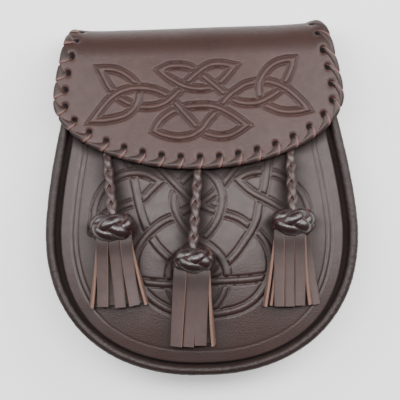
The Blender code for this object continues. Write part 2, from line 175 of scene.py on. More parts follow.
def facing(surface: Array) -> Array:
    """Returns the normals of a grid of points: its change along a row crossed with that up a
    column."""
    return unit(np.cross(np.gradient(surface, axis=1), np.gradient(surface, axis=0)))


# ---- meshes from grids

class Shell:
    """Points and faces gathered from grids, which become one mesh."""

    def __init__(self) -> None:
        """Starts it empty."""
        self.points: list[Array] = []
        self.faces: list[tuple[Array, int]] = []
        self.marks: dict[str, list[tuple[int, Array]]] = {}
        self.count = 0

    def add(self, points: Array, **marks: float | Array) -> Array:
        """Adds points.

        Args:
            points: any array of points, whose last axis is x, y, z.
            marks: values at the points for the finishes, by name.

        Returns:
            The indexes of the points, in the array's own layout.
        """
        shape = points.shape[:-1]
        index = self.count + np.arange(int(np.prod(shape))).reshape(shape)
        for name, value in marks.items():
            spread = np.broadcast_to(value, shape).ravel()
            self.marks.setdefault(name, []).append((self.count, spread))
        self.points.append(points.reshape(-1, 3))
        self.count += index.size
        return index

    def face(self, corners: Array, cloth: int = 0) -> None:
        """Adds faces, a row of corners each, with the finish of this number."""
        self.faces.append((corners.reshape(-1, corners.shape[-1]), cloth))

    def skin(self, index: Array, turned: bool = False, keep: Array | None = None,
             cloth: int = 0) -> None:
        """Adds a grid's faces, whose outside is the side that its rows cross its columns to.

        Args:
            index: the grid of points.
            turned: whether the outside is the other side.
            keep: which faces stay, or None for all.
            cloth: number of the finish.
        """
        corners = np.stack([index[:-1, :-1], index[:-1, 1:], index[1:, 1:], index[1:, :-1]], -1)
        corners = corners.reshape(-1, 4) if keep is None else corners[keep]
        self.face(corners[:, ::-1] if turned else corners, cloth)

    def fan(self, ring: Array, middle: Array, turned: bool = False, **marks: float) -> None:
        """Closes a ring of points with triangles to a point in its middle.

        Args:
            ring: the ring's indexes.
            middle: where the point goes.
            turned: whether the outside is the other side.
            marks: values at the point for the finishes, by name.
        """
        hub = self.add(middle[None], **marks)[0]
        following = np.roll(ring, -1)
        pair = (following, ring) if turned else (ring, following)
        self.face(np.stack([np.full(len(ring), hub), *pair], -1))

    def tube(self, rings: Array, turned: bool = False,
             ends: dict[str, float] | None = None, **marks: float | Array) -> None:
        """Adds rings joined in a row, with a fan over each end.

        Args:
            rings: the rings, each a row of points.
            turned: whether the outside is the other side.
            ends: marks of the two fans' middles.
            marks: values at the points for the finishes, by name.
        """
        index = self.add(rings, **marks)
        self.skin(np.concatenate([index, index[:, :1]], axis=1), turned)
        self.fan(index[0], rings[0].mean(0), not turned, **(ends or {}))
        self.fan(index[-1], rings[-1].mean(0), turned, **(ends or {}))

    def zip_rims(self, fine: Array, coarse: Array, cloth: int = 0) -> None:
        """Joins a closed ring to one of a third as many points, by four triangles for each.

        Args:
            fine: indexes of the longer ring.
            coarse: indexes of the shorter one.
            cloth: number of the finish.
        """
        a, b, c = fine[0::3], fine[1::3], fine[2::3]
        d, low, next_low = np.roll(a, -1), coarse, np.roll(coarse, -1)
        self.face(np.concatenate([np.stack(corners, -1) for corners in (
            (a, low, b), (b, low, next_low), (b, next_low, c), (c, next_low, d))]), cloth)

    def build(self, name: str, finishes: Iterable[bpy.types.Material]) -> bpy.types.Object:
        """Makes the mesh and its object, without the points that no face uses.

        Args:
            name: of the piece.
            finishes: its materials, in the order of their numbers.

        Returns:
            The object, which rides on nothing yet.
        """
        corners = np.concatenate([faces.ravel() for faces, _ in self.faces])
        sizes = np.concatenate([np.full(len(faces), faces.shape[1]) for faces, _ in self.faces])
        cloths = np.concatenate([np.full(len(faces), cloth) for faces, cloth in self.faces])
        used, corners = np.unique(corners, return_inverse=True)
        mesh = bpy.data.meshes.new(name)
        mesh.vertices.add(len(used))
        mesh.vertices.foreach_set("co", np.concatenate(self.points)[used].astype("f").ravel())
        mesh.loops.add(len(corners))
        mesh.polygons.add(len(sizes))
        starts = np.append(0, np.cumsum(sizes)[:-1])
        mesh.polygons.foreach_set("loop_start", starts.astype("i"))
        mesh.polygons.foreach_set("vertices", corners.ravel().astype("i"))
        mesh.polygons.foreach_set("material_index", cloths.astype("i"))
        mesh.update(calc_edges=True)
        for mark, rows in self.marks.items():
            values = np.zeros(self.count, "f")
            for first, value in rows:
                values[first:first + len(value)] = value
            mesh.attributes.new(mark, "FLOAT", "POINT").data.foreach_set("value", values[used])
        mesh.shade_smooth()
        mesh.set_sharp_from_angle(angle=math.radians(60))
        for finish in finishes:
            mesh.materials.append(finish)
        piece = bpy.data.objects.new(name, mesh)
        bpy.context.scene.collection.objects.link(piece)
        return piece

    def dress(self, name: str, node: str, slot: str,
              finishes: Iterable[bpy.types.Material]) -> bpy.types.Object:
        """Builds a piece that rides on the pouch and stands for one of the frame's nodes.

        Args:
            Builds a piece that rides on the pouch and stands for one of the model's nodes.
            node: the node that it replaces.
            slot: not used.
            finishes: its materials, in the order of their numbers.
        """
        piece = self.build(name, finishes)
        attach(piece, BODY)
        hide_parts(node)
        LOG.info("%s: %d faces", name, len(piece.data.polygons))
        return piece


def perimeter(index: Array) -> Array:
    """Returns the edge of a grid as one ring, anticlockwise from its first corner."""
    return np.concatenate([index[0, :-1], index[:-1, -1], index[-1, :0:-1], index[:0:-1, 0]])


def raise_wall(shell: Shell, outer: Array, behind: Array, inner_marks: dict[str, float],
               outer_marks: dict[str, Array], holes: Iterable[tuple[int, int]] = (),
               rim_cloth: int = 1) -> None:
    """Adds a wall of leather: a fine outer face, behind it an inner one of a third of its lines,
    the rim between them and the walls of the holes.

    Args:
        shell: where it goes.
        outer: grid of the outer face, a multiple of COARSE faces each way.
        behind: the same grid for the inner face, of which only the coarse lines are used.
        inner_marks: values for the finishes on the inner face.
        outer_marks: the same on the outer face.
        holes: row and column of each hole's middle, on coarse lines; the hole reaches to the next
            coarse line on each side.
        rim_cloth: number of the finish of the rim and of the holes' walls.
    """
    fine = shell.add(outer, **outer_marks)
    coarse = shell.add(behind[::COARSE, ::COARSE], **inner_marks)
    kept = [np.ones((face.shape[0] - 1, face.shape[1] - 1), bool) for face in (fine, coarse)]
    for row, column in holes:
        rings = []
        for face, keep, reach in zip((fine, coarse), kept, (COARSE, 1)):
            i, j = row * reach // COARSE, column * reach // COARSE
            keep[i - reach:i + reach, j - reach:j + reach] = False
            ring = perimeter(face[i - reach:i + reach + 1, j - reach:j + reach + 1])
            rings.append(np.roll(ring[::-1], 1))
        shell.zip_rims(*rings, rim_cloth)
    shell.skin(fine, keep=kept[0])
    shell.skin(coarse, turned=True, keep=kept[1])
    shell.zip_rims(perimeter(fine), perimeter(coarse), rim_cloth)


def section_of(sides: int, square: float) -> tuple[Array, Array]:
    """Returns p and q round the section |p|^n + |q|^n = 1, where n is square."""
    turn = np.linspace(0, 2 * math.pi, sides, endpoint=False)
    p = np.sign(np.cos(turn)) * np.abs(np.cos(turn)) ** (2 / square)
    q = np.sign(np.sin(turn)) * np.abs(np.sin(turn)) ** (2 / square)
    return p, q


def bare_share(p: Array, low_start: float, high_start: float) -> Array:
    """Returns the mark "cut" across a strip.

    Args:
        p: places across it, from -1 to 1.
        low_start: the |p| where the bare edge starts on the negative side.
        high_start: the same on the positive side.
    """
    start = np.where(p < 0, low_start, high_start)
    return smoothstep(0, 1, (np.abs(p) - start) / (0.99 - start))


def carried_strip(shell: Shell, path: Array, up: Array, width: Array, thick: Array, *,
                  sides: int, square: float, crown: float = 0.0, closed: bool = False,
                  flesh: float = 0.0, bare_from: float = 0.86, pit: Array = 0.0) -> None:
    """Adds a flat strip carried along a path.

    Its section is |p|^n + |q|^n = 1, p across the strip and q out of it, and crown·(1 - p²) lifts
    its upper face. The mark "cut" is 1 on its bare edges and flesh on its underside.

    Args:
        shell: where it goes.
        path: points of its middle.
        up: the way that its face looks at each point.
        width: its width, one value or one for each point.
        thick: its thickness, in the same way.
        sides: points round the section.
        square: the power n.
        crown: how far the middle of its face stands over its edges.
        closed: whether the path comes back to its start.
        flesh: mark of its underside.
        bare_from: the |p| where the bare edge starts.
        pit: how much shade is painted on, one value or one for each point.
    """
    if closed:
        run = np.roll(path, -1, axis=0) - np.roll(path, 1, axis=0)
    else:
        run = np.gradient(path, axis=0)
    across = unit(np.cross(up, unit(run)))
    out = unit(np.cross(unit(run), across))
    p, q = section_of(sides, square)
    half = np.broadcast_to(np.asarray(width, float) / 2, len(path))[:, None, None]
    deep = np.broadcast_to(np.asarray(thick, float) / 2, len(path))[:, None]
    lift = (q * deep + crown * (1 - p ** 2) * (q > 0))[..., None]
    ring = path[:, None] + across[:, None] * half * p[None, :, None] + out[:, None] * lift
    cut = np.maximum(bare_share(p, bare_from, bare_from), flesh * (q < -0.2))
    shade_marks = np.broadcast_to(np.asarray(pit, float), len(path))[:, None] + 0 * cut
    index = shell.add(ring, cut=np.broadcast_to(cut, ring.shape[:-1]), pit=shade_marks)
    if closed:
        index = np.concatenate([index, index[:1]])
    shell.skin(np.concatenate([index, index[:, :1]], axis=1))
    if not closed:
        shell.fan(index[0], path[0], turned=True, cut=1.0)
        shell.fan(index[-1], path[-1], cut=1.0)


# ---- finishes

Operand = Union["Value", float]


class Value:
    """A number that a material works out, on which sums and products add Math nodes."""

    def __init__(self, tree: bpy.types.NodeTree, socket: bpy.types.NodeSocket) -> None:
        """Wraps a node's output."""
        self.tree = tree
        self.socket = socket

    def joined(self, operation: str, first: Operand, second: Operand = 0.0,
               clamped: bool = False) -> Value:
        """Adds one Math node.

        Args:
            operation: its operation.
            first: its first operand.
            second: its second operand.
            clamped: whether its result stays from 0 to 1.

        Returns:
            Its result.
        """
        node = self.tree.nodes.new("ShaderNodeMath")
        node.operation = operation
        node.use_clamp = clamped
        for slot, operand in zip(node.inputs, (first, second)):
            if isinstance(operand, Value):
                self.tree.links.new(operand.socket, slot)
            else:
                slot.default_value = operand
        return Value(self.tree, node.outputs[0])

    def __add__(self, other: Operand) -> Value:
        """Returns the sum."""
        return self.joined("ADD", self, other)

    __radd__ = __add__

    def __sub__(self, other: Operand) -> Value:
        """Returns the difference."""
        return self.joined("SUBTRACT", self, other)

    def __rsub__(self, other: Operand) -> Value:
        """Returns the difference from a number."""
        return self.joined("SUBTRACT", other, self)

    def __mul__(self, other: Operand) -> Value:
        """Returns the product."""
        return self.joined("MULTIPLY", self, other)

    __rmul__ = __mul__

    def clamped(self) -> Value:
        """Returns the value kept from 0 to 1."""
        return self.joined("ADD", self, 0.0, clamped=True)


Feed = Union[Value, bpy.types.NodeSocket, float, tuple]


class Paint:
    """The node tree of one material under way."""

    def __init__(self, name: str) -> None:
        """Makes the material, whose shader still has its usual settings."""
        self.material = bpy.data.materials.new(name)
        self.material.use_nodes = True
        self.tree = self.material.node_tree
        self.shader = self.tree.nodes["Principled BSDF"]

    def node(self, kind: str, settings: dict[str, object],
             inputs: dict[str | int, Feed]) -> bpy.types.Node:
        """Adds a node.

        Args:
            kind: its type.
            settings: its own properties, which are set first.
            inputs: values or links of its sockets.

        Returns:
            The node.
        """
        node = self.tree.nodes.new(kind)
        for key, value in settings.items():
            setattr(node, key, value)
        self.feed(node, inputs)
        return node

    def feed(self, node: bpy.types.Node, inputs: dict[str | int, Feed]) -> None:
        """Sets or links a node's sockets."""
        for key, value in inputs.items():
            if isinstance(value, Value):
                self.tree.links.new(value.socket, node.inputs[key])
            elif isinstance(value, bpy.types.NodeSocket):
                self.tree.links.new(value, node.inputs[key])
            else:
                node.inputs[key].default_value = value

    def place(self) -> bpy.types.NodeSocket:
        """Returns the Object coordinates."""
        return self.node("ShaderNodeTexCoord", {}, {}).outputs["Object"]

    def mark(self, name: str) -> Value:
        """Returns a value that the mesh carries at its points."""
        node = self.node("ShaderNodeAttribute", {"attribute_name": name}, {})
        return Value(self.tree, node.outputs["Fac"])

    def noise(self, place: bpy.types.NodeSocket, size: float, detail: float) -> Value:
        """Returns fractal noise from 0 to 1 with features of this size in metres."""
        node = self.node("ShaderNodeTexNoise", {},
                         {"Vector": place, "Scale": 1 / size, "Detail": detail})
        return Value(self.tree, node.outputs[0])

    def cells(self, place: bpy.types.NodeSocket, size: float) -> Value:
        """Returns the distance from the middles of grains of this size."""
        node = self.node("ShaderNodeTexVoronoi", {"feature": "SMOOTH_F1"},
                         {"Vector": place, "Scale": 1 / size, "Smoothness": 0.35})
        return Value(self.tree, node.outputs["Distance"])

    def mix(self, share: Operand, first: Feed, second: Feed) -> bpy.types.NodeSocket:
        """Returns the colour between two others, at this share of the way."""
        node = self.node("ShaderNodeMix", {"data_type": "RGBA"}, {0: share, 6: first, 7: second})
        return node.outputs[2]

    def bump(self, height: Value, depth: float) -> bpy.types.NodeSocket:
        """Returns the normal of a surface on which height 1 stands depth metres up."""
        node = self.node("ShaderNodeBump", {}, {"Height": height, "Distance": depth})
        return node.outputs["Normal"]


def dye(red: int, green: int, blue: int) -> Colour:
    """Returns a screen colour, each part from 0 to 255, as the linear one that shaders take."""
    parts = np.array([red, green, blue]) / 255
    linear = np.where(parts > 0.04045, ((parts + 0.055) / 1.055) ** 2.4, parts / 12.92)
    return (*(float(part) for part in linear), 1.0)


@dataclass(frozen=True)
class LeatherFinish:
    """A dyed leather: cloudy colour, darker in hollows and where shade is painted on, bare on cut
    edges, with a pebbled grain.

    The mesh says where: "cut" is bare leather; "hollow" darkens tooled grooves, partly as dye
    settled in them and partly as painted shade, and also paints shade by seams, holes and over the
    flap's fold; "pit" is shade painted into the colour, where the leather is also rougher and
    uncoated. Pebble is the size of the grain and relief its depth.
    """

    name: str
    face: Colour = dye(56, 39, 36)
    shade: Colour = dye(45, 31, 29)
    hollow_dye_and_shade: Colour = dye(24, 14, 12)
    bare: Colour = dye(104, 66, 57)
    roughness: float = 0.38
    coat: float = 0.08
    shine: float = 0.34
    pebble: float = 0.0009
    relief: float = 0.00009
    cloud_size: float = 0.030
    blotch_size: float = 0.0045
    pore_share: float = 0.35

    def material(self) -> bpy.types.Material:
        """Makes the material."""
        paint = Paint(self.name)
        place = paint.place()
        clouds = paint.noise(place, self.cloud_size, 3.0)
        blotches = paint.noise(place, self.blotch_size, 4.0)
        grain = paint.cells(place, self.pebble)
        pores = paint.noise(place, self.pebble * self.pore_share, 2.0)
        cut, hollow_dye_and_shade, pit = (paint.mark(name) for name in ("cut", "hollow_dye_and_shade", "pit"))
        tone = (clouds * 1.6 + blotches * 1.2 - 0.9).clamped()
        colour = paint.mix(tone, self.face, self.shade)
        # painted shade: marked places darken towards the dark colour, in tooled grooves partly as dye
        # settled there
        colour = paint.mix((hollow_dye_and_shade * 0.45 + pit).clamped(), colour, self.hollow_dye_and_shade)
        colour = paint.mix((cut * (0.75 + blotches * 0.5)).clamped(), colour, self.bare)
        rough = self.roughness + blotches * 0.16 - 0.08 + cut * 0.3 + pit * 0.5
        height = grain * 0.8 + pores * 0.5 + cut * pores * 1.5
        paint.feed(paint.shader, {
            "Base Color": colour,
            "Roughness": rough.clamped(),
            "Normal": paint.bump(height, self.relief),
            "Coat Weight": ((1 - pit) * self.coat).clamped(),
            "Coat Roughness": 0.35,
            "Specular IOR Level": self.shine,
        })
        return paint.material


@dataclass(frozen=True)
class MetalFinish:
    """Plain brushed metal with light scuffs."""

    name: str
    colour: Colour = dye(170, 168, 164)
    scuffed: Colour = dye(120, 117, 112)

    def material(self) -> bpy.types.Material:
        """Makes the material."""
        paint = Paint(self.name)
        place = paint.place()
        scuffs = paint.noise(place, 0.0012, 5.0)
        paint.feed(paint.shader, {
            "Base Color": paint.mix(scuffs, self.colour, self.scuffed),
            "Metallic": 1.0,
            "Roughness": (0.22 + scuffs * 0.3).clamped(),
            "Normal": paint.bump(scuffs, 0.00002),
        })
        return paint.material


@dataclass(frozen=True)
class PlainFinish:
    """Matt and slightly glowing paper for the floor, a little uneven in tone."""

    name: str
    colour: Colour
    lighter: Colour
    glow: float = 0.55

    def material(self) -> bpy.types.Material:
        """Makes the material."""
        paint = Paint(self.name)
        place = paint.place()
        tone = paint.noise(place, 0.4, 2.0)
        paint.feed(paint.shader, {
            "Base Color": paint.mix(tone, self.colour, self.lighter),
            "Roughness": 0.9,
            "Emission Color": self.colour,
            "Emission Strength": self.glow,
        })
        return paint.material


class Finishes:
    """Every finish of the pouch, made once."""

    def __init__(self) -> None:
        """Makes them."""
        self.panel = LeatherFinish("panel leather").material()
        self.flap = LeatherFinish("flap leather", face=dye(71, 50, 46), shade=dye(59, 41, 38),
                                  roughness=0.44, shine=0.26).material()
        self.roll = LeatherFinish("rolled leather", face=dye(46, 34, 32), shade=dye(35, 26, 24),
                                  roughness=0.44, coat=0.0, shine=0.30, pebble=0.0014,
                                  relief=0.00018).material()
        self.lace = LeatherFinish("lace leather", face=dye(60, 42, 39), shade=dye(42, 29, 27),
                                  bare=dye(120, 88, 84), hollow_dye_and_shade=dye(14, 7, 6), roughness=0.45,
                                  pebble=0.0007).material()
        self.knot = LeatherFinish("knot leather", face=dye(44, 27, 26), shade=dye(30, 17, 16),
                                  bare=dye(104, 68, 64), roughness=0.29, coat=0.15, shine=0.62,
                                  pebble=0.0012).material()
        self.plait = LeatherFinish("plait leather", face=dye(70, 52, 49), shade=dye(52, 38, 36),
                                   bare=dye(108, 72, 70), roughness=0.36, coat=0.0, shine=0.62,
                                   pebble=0.0007).material()
        self.fringe = LeatherFinish("fringe leather", face=dye(88, 73, 71), shade=dye(74, 61, 59),
                                    bare=dye(122, 92, 80), roughness=0.40, shine=0.45,
                                    pebble=0.0008).material()
        self.edge = LeatherFinish("cut leather edge", face=dye(46, 28, 25), shade=dye(34, 21, 19),
                                  roughness=0.6, pebble=0.0005).material()
        self.steel = MetalFinish("stud steel").material()


# ---- outlines and the pouch's form

@dataclass(frozen=True)
class UOutline:
    """A rounded outline, open at the top.

    Below middle_y it is a superellipse, and above it the half width is
    wide - taper·(rise / taper_run)^taper_power.
    """

    wide: float
    low: float
    middle_y: float
    power_x: float
    power_y: float
    taper: float
    taper_run: float
    taper_power: float

    def half_width(self, y: Array) -> Array:
        """Returns half the width at these heights."""
        rise = np.clip((y - self.middle_y) / self.taper_run, 0, 1)
        return self.wide - self.taper * rise ** self.taper_power

    def low_edge(self, share: Array) -> Array:
        """Returns the lower edge at these shares of the half width."""
        inside = np.maximum(1 - np.abs(share) ** self.power_x, 0)
        return self.middle_y - self.low * inside ** (1 / self.power_y)

    def line(self, top_y: float, inset: float | Callable[[Array], Array] = 0.0) -> Array:
        """Returns dense points from the left top end round the bottom to the right one.

        Args:
            top_y: height of its two ends.
            inset: how far inside the outline, one value or a function of the height.
        """
        side_points, low_points = 160, 320
        y = np.linspace(top_y, self.middle_y, side_points)
        turn = np.linspace(0, math.pi / 2, low_points)[1:]
        low_x = self.wide * np.maximum(np.cos(turn), 0) ** (2 / self.power_x)
        low_y = self.middle_y - self.low * np.sin(turn) ** (2 / self.power_y)
        right = np.stack([np.append(self.half_width(y), low_x), np.append(y, low_y)], axis=1)
        points = np.concatenate([right * (-1, 1), right[-2::-1]])
        off = inset(points[:, 1])[:, None] if callable(inset) else inset
        return points + off * leftward(points)


def spread(count: int, bias: float) -> Array:
    """Returns shares from -1 to 1, closer together at the ends: (1 - bias)·t + bias·sin(πt / 2)."""
    t = np.linspace(-1, 1, count + 1)
    return (1 - bias) * t + bias * np.sin(t * math.pi / 2)


def d_grid(line: Array, columns: Array, rows: Array) -> Array:
    """Fills a D-shaped line with a grid.

    x = u·W(y) and y = low(u) + v·(top - low(u)), with W and low read from the line's right half.

    Args:
        line: from the left top end round the bottom to the right one.
        columns: the shares u, from -1 to 1.
        rows: the shares v, from 0 to 1.

    Returns:
        Places, rows by columns by 2.
    """
    half = line[len(line) // 2:]
    widest = int(half[:, 0].argmax())
    low_part, high_part = half[:widest + 1], half[widest:]
    low = np.interp(np.abs(columns) * half[widest, 0], low_part[:, 0], low_part[:, 1])
    y = low + rows[:, None] * (half[-1, 1] - low)
    x = columns * np.interp(y, high_part[:, 1], high_part[:, 0])
    return np.stack([x, y], axis=-1)


@dataclass(frozen=True)
class PouchForm:
    """The pouch's sizes, as the model has them."""

    outline: UOutline = UOutline(wide=0.0900, low=0.0823, middle_y=-0.0188, power_x=2.25,
                                 power_y=2.25, taper=0.0208, taper_run=0.1034, taper_power=1.5)
    mouth_y: float = 0.0826
    panel_top: float = 0.0765
    back_seam: float = 0.0075
    seam_height: float = 0.0420
    seam_fall: float = 0.0765
    roll: float = 0.0030
    groove: float = 0.0022
    low_groove: float = 0.0009
    groove_narrows: tuple[float, float] = (-0.085, -0.035)
    wall: float = 0.0022
    panel_wall: float = 0.0024
    panel_rest: float = 0.0001
    centre: tuple[float, float] = (0.0, -0.0095)
    dome: float = 0.0080
    dome_power: float = 2.2

    def front_seam(self, y: Array) -> Array:
        """Returns the height of the front roll's middle, which falls steadily up the pouch."""
        return self.seam_height - self.seam_fall * (y - (self.outline.middle_y - self.outline.low))

    def panel_level(self, x: Array, y: Array) -> Array:
        """Returns how far out a place on the front panel is: its distance from the centre over
        that of the rim, on the same ray."""
        rim = self.outline.line(self.panel_top, 2 * self.roll + self.groove)
        rays = rim - self.centre
        angles = np.unwrap(np.arctan2(rays[:, 0], -rays[:, 1]))
        angle = np.arctan2(x - self.centre[0], self.centre[1] - y)
        reach = np.hypot(x - self.centre[0], y - self.centre[1])
        round_level = reach / np.interp(angle, angles, np.linalg.norm(rays, axis=1))
        top_level = (y - self.centre[1]) / (self.panel_top - self.centre[1])
        inside = (angle > angles[0]) & (angle < angles[-1])
        return np.where(inside, round_level, top_level)

    def panel_face(self, x: Array, y: Array) -> Array:
        """Returns the height of the front panel: its seam and a dome, dome·(1 - level^power)."""
        level = np.minimum(self.panel_level(x, y), 1)
        rise = self.dome * (1 - level ** self.dome_power)
        return self.front_seam(y) + self.panel_rest + self.panel_wall + rise

    def low_groove_inset(self, y: Array) -> Array:
        """Returns how far inside the outline the visible front panel ends: its groove narrows
        towards the bottom of the pouch."""
        share = smoothstep(*self.groove_narrows, y)
        return 2 * self.roll + self.low_groove + (self.groove - self.low_groove) * share


# ---- tooled knotwork

@dataclass(frozen=True)
class Tooling:
    """Section of a tooled line: a rounded groove -depth·exp(-(d / reach)²) along the band's edge,
    and a crown across the band."""

    depth: float = 0.00072
    reach: float = 0.00066
    crown: float = 0.00030

    def height(self, inside: Array, band: float) -> Array:
        """Returns the height at this distance inside the band's edge.

        Args:
            inside: distance, negative outside.
            band: width of the band.
        """
        groove = -self.depth * hill(inside, self.reach)
        return groove + self.crown * smoothstep(0, band / 2, inside)


@dataclass(frozen=True)
class Strand:
    """One strand of a knot, by the places it passes, in chart units."""

    name: str
    points: tuple[tuple[float, float], ...]


@dataclass(frozen=True)
class Crossing:
    """Where one strand passes over another, in chart units."""

    over: str
    under: str
    x: float
    y: float


@dataclass(frozen=True)
class Tip:
    """Where two strands meet in a point, in chart units."""

    first: str
    second: str
    x: float
    y: float


@dataclass(frozen=True)
class Knotwork:
    """An interlaced knot, charted with x to the right and y down the leather.

    Crossings and tips cut the strands within so many widths of the band, crossing_reach and
    tip_reach.
    """

    origin: tuple[float, float]
    unit: float
    turn: float
    band: float
    strands: tuple[Strand, ...]
    crossings: tuple[Crossing, ...]
    tips: tuple[Tip, ...]
    crossing_reach: float = 2.1
    tip_reach: float = 2.4

    def placed(self, x: Array, y: Array) -> Array:
        """Returns places on the leather, in metres, of places on the chart."""
        cos, sin = math.cos(self.turn), math.sin(self.turn)
        x, y = np.asarray(x, float) * self.unit, -np.asarray(y, float) * self.unit
        return np.stack([self.origin[0] + x * cos + y * sin,
                         self.origin[1] - x * sin + y * cos], axis=-1)

    def lines(self) -> dict[str, Array]:
        """Returns each strand as a smooth line, made longer past the tips that it ends in."""
        extra, found = 1.3 * self.band, {}
        for strand in self.strands:
            line = smooth_line(self.placed(*np.array(strand.points).T), self.band / 6)
            ends = [self.placed(tip.x, tip.y) for tip in self.tips
                    if strand.name in (tip.first, tip.second)]
            for spot in ends:
                if np.linalg.norm(line[0] - spot) < self.band / 4:
                    line = np.vstack([line[0] + unit(line[0] - line[3]) * extra, line])
                if np.linalg.norm(line[-1] - spot) < self.band / 4:
                    line = np.vstack([line, line[-1] + unit(line[-1] - line[-4]) * extra])
            found[strand.name] = line
        return found

    def inside(self, spots: Array) -> Array:
        """Returns how far each spot is inside the bands, negative outside.

        A strand's own value is half its band less the distance from its line. Where it passes
        under another it is cut by the other's edges, and at a tip each of the two is cut by the
        outer edge of the other. The largest value counts.

        Args:
            spots: places on the leather, n by 2.
        """
        lines = self.lines()
        sides = {name: near_line(spots, line)[0] for name, line in lines.items()}
        values = {name: self.band / 2 - np.abs(side) for name, side in sides.items()}
        whole = {name: value.copy() for name, value in values.items()}
        for crossing in self.crossings:
            near = self.reach_of(spots, crossing) < self.crossing_reach * self.band
            cut = np.minimum(values[crossing.under], -whole[crossing.over])
            values[crossing.under] = np.where(near, cut, values[crossing.under])
        for tip in self.tips:
            near = self.reach_of(spots, tip) < self.tip_reach * self.band
            for name, other in ((tip.first, tip.second), (tip.second, tip.first)):
                side = self.inner_side(lines[name], lines[other], tip)
                cut = np.minimum(values[name], self.band / 2 + side * sides[other])
                values[name] = np.where(near, cut, values[name])
        return np.max(np.stack(list(values.values())), axis=0)

    def inside_near(self, spots: Array) -> Array:
        """Returns what inside does, but worked out only near the knot, to spare time."""
        places = np.concatenate(list(self.lines().values()))
        low, high = places.min(0) - self.band, places.max(0) + self.band
        near = ((spots > low) & (spots < high)).all(1)
        values = np.full(len(spots), -self.band)
        values[near] = self.inside(spots[near])
        return values

    def reach_of(self, spots: Array, mark: Crossing | Tip) -> Array:
        """Returns the distance of each spot from a crossing or a tip."""
        return np.linalg.norm(spots - self.placed(mark.x, mark.y), axis=1)

    def inner_side(self, line: Array, other: Array, tip: Tip) -> float:
        """Returns 1 if the line comes to the tip on the left of the other one, and -1 if not."""
        spot = self.placed(tip.x, tip.y)
        reach = np.linalg.norm(line - spot, axis=1)
        outside = reach / self.band - self.tip_reach
        ring = np.flatnonzero((outside > 0) & (outside < 1))
        back = line[ring[np.argmin(np.abs(ring - reach.argmin()))]]
        return float(np.sign(near_line(back[None], other)[0][0]))


FLAP_KNOT = Knotwork(
    origin=(-0.06990, 0.09297), unit=0.0000974, turn=math.radians(1.45), band=0.0039,
    strands=(
        Strand("left_hook", (
            (146, 170), (200, 169), (244, 176), (289, 196), (326, 223), (355, 252), (373, 287), (375, 329),
            (364, 371), (341, 408), (300, 442), (255, 458), (211, 467), (162, 473), (103, 474))),
        Strand("left_wave", (
            (103, 474), (141, 422), (179, 373), (216, 336), (255, 309), (290, 295), (336, 283), (382, 281),
            (431, 285), (480, 296), (530, 318), (564, 344), (598, 376), (638, 423), (687, 475), (721, 514),
            (755, 543), (804, 560), (853, 568), (911, 560), (960, 535), (1009, 501))),
        Strand("long_diagonal", (
            (146, 170), (161, 197), (174, 225), (188, 252), (205, 279), (228, 306), (252, 334), (280, 352),
            (309, 367), (343, 382), (383, 392), (422, 394), (456, 392), (495, 384), (535, 366), (564, 344),
            (593, 317), (633, 275), (674, 231), (711, 198), (750, 167), (790, 146), (829, 137), (878, 139),
            (936, 151))),
        Strand("top_wave", (
            (502, 176), (544, 155), (573, 149), (603, 148), (637, 150), (672, 157), (706, 175), (755, 210),
            (804, 251), (834, 275), (873, 308), (912, 337), (951, 360), (1010, 371), (1079, 366),
            (1147, 334), (1192, 303), (1221, 269), (1246, 225), (1269, 175), (1279, 143), (1285, 112))),
        Strand("top_bowl", (
            (502, 176), (539, 211), (588, 242), (637, 268), (686, 281), (736, 285), (775, 281), (809, 270),
            (853, 245), (896, 201), (936, 151))),
        Strand("right_wave", (
            (467, 532), (501, 551), (540, 563), (608, 574), (677, 565), (706, 551), (748, 521), (785, 472),
            (818, 435), (843, 398), (868, 371), (890, 344), (922, 314), (955, 290), (1000, 262),
            (1050, 248), (1094, 242), (1140, 243), (1187, 256), (1230, 276), (1261, 296), (1295, 325),
            (1344, 374), (1368, 406))),
        Strand("low_arch", (
            (467, 532), (486, 497), (510, 467), (545, 438), (584, 415), (628, 401), (672, 391), (726, 386),
            (779, 385), (824, 392), (868, 408), (917, 435), (961, 465), (1009, 501))),
        Strand("right_hook", (
            (1285, 112), (1242, 115), (1193, 128), (1154, 151), (1124, 181), (1103, 211), (1088, 240),
            (1082, 275), (1085, 304), (1091, 334), (1106, 363), (1128, 386), (1157, 399), (1196, 414),
            (1235, 421), (1270, 422), (1319, 418), (1368, 406))),
    ),
    crossings=(
        Crossing("left_wave", "left_hook", 370, 281),
        Crossing("left_hook", "long_diagonal", 358, 386),
        Crossing("left_wave", "long_diagonal", 230, 320),
        Crossing("long_diagonal", "left_wave", 564, 344),
        Crossing("top_bowl", "long_diagonal", 633, 272),
        Crossing("long_diagonal", "top_wave", 728, 188),
        Crossing("top_wave", "top_bowl", 828, 262),
        Crossing("right_wave", "top_wave", 895, 330),
        Crossing("top_wave", "right_hook", 1110, 362),
        Crossing("right_wave", "top_wave", 1225, 270),
        Crossing("right_wave", "left_wave", 738, 530),
        Crossing("left_wave", "low_arch", 612, 398),
        Crossing("low_arch", "right_wave", 852, 392),
        Crossing("right_hook", "right_wave", 1086, 243),
    ),
    tips=(
        Tip("left_hook", "long_diagonal", 146, 170),
        Tip("left_hook", "left_wave", 103, 474),
        Tip("top_wave", "top_bowl", 502, 176),
        Tip("top_bowl", "long_diagonal", 936, 151),
        Tip("right_wave", "low_arch", 467, 532),
        Tip("low_arch", "left_wave", 1009, 501),
        Tip("right_hook", "top_wave", 1285, 112),
        Tip("right_wave", "right_hook", 1368, 406),
    ),
)

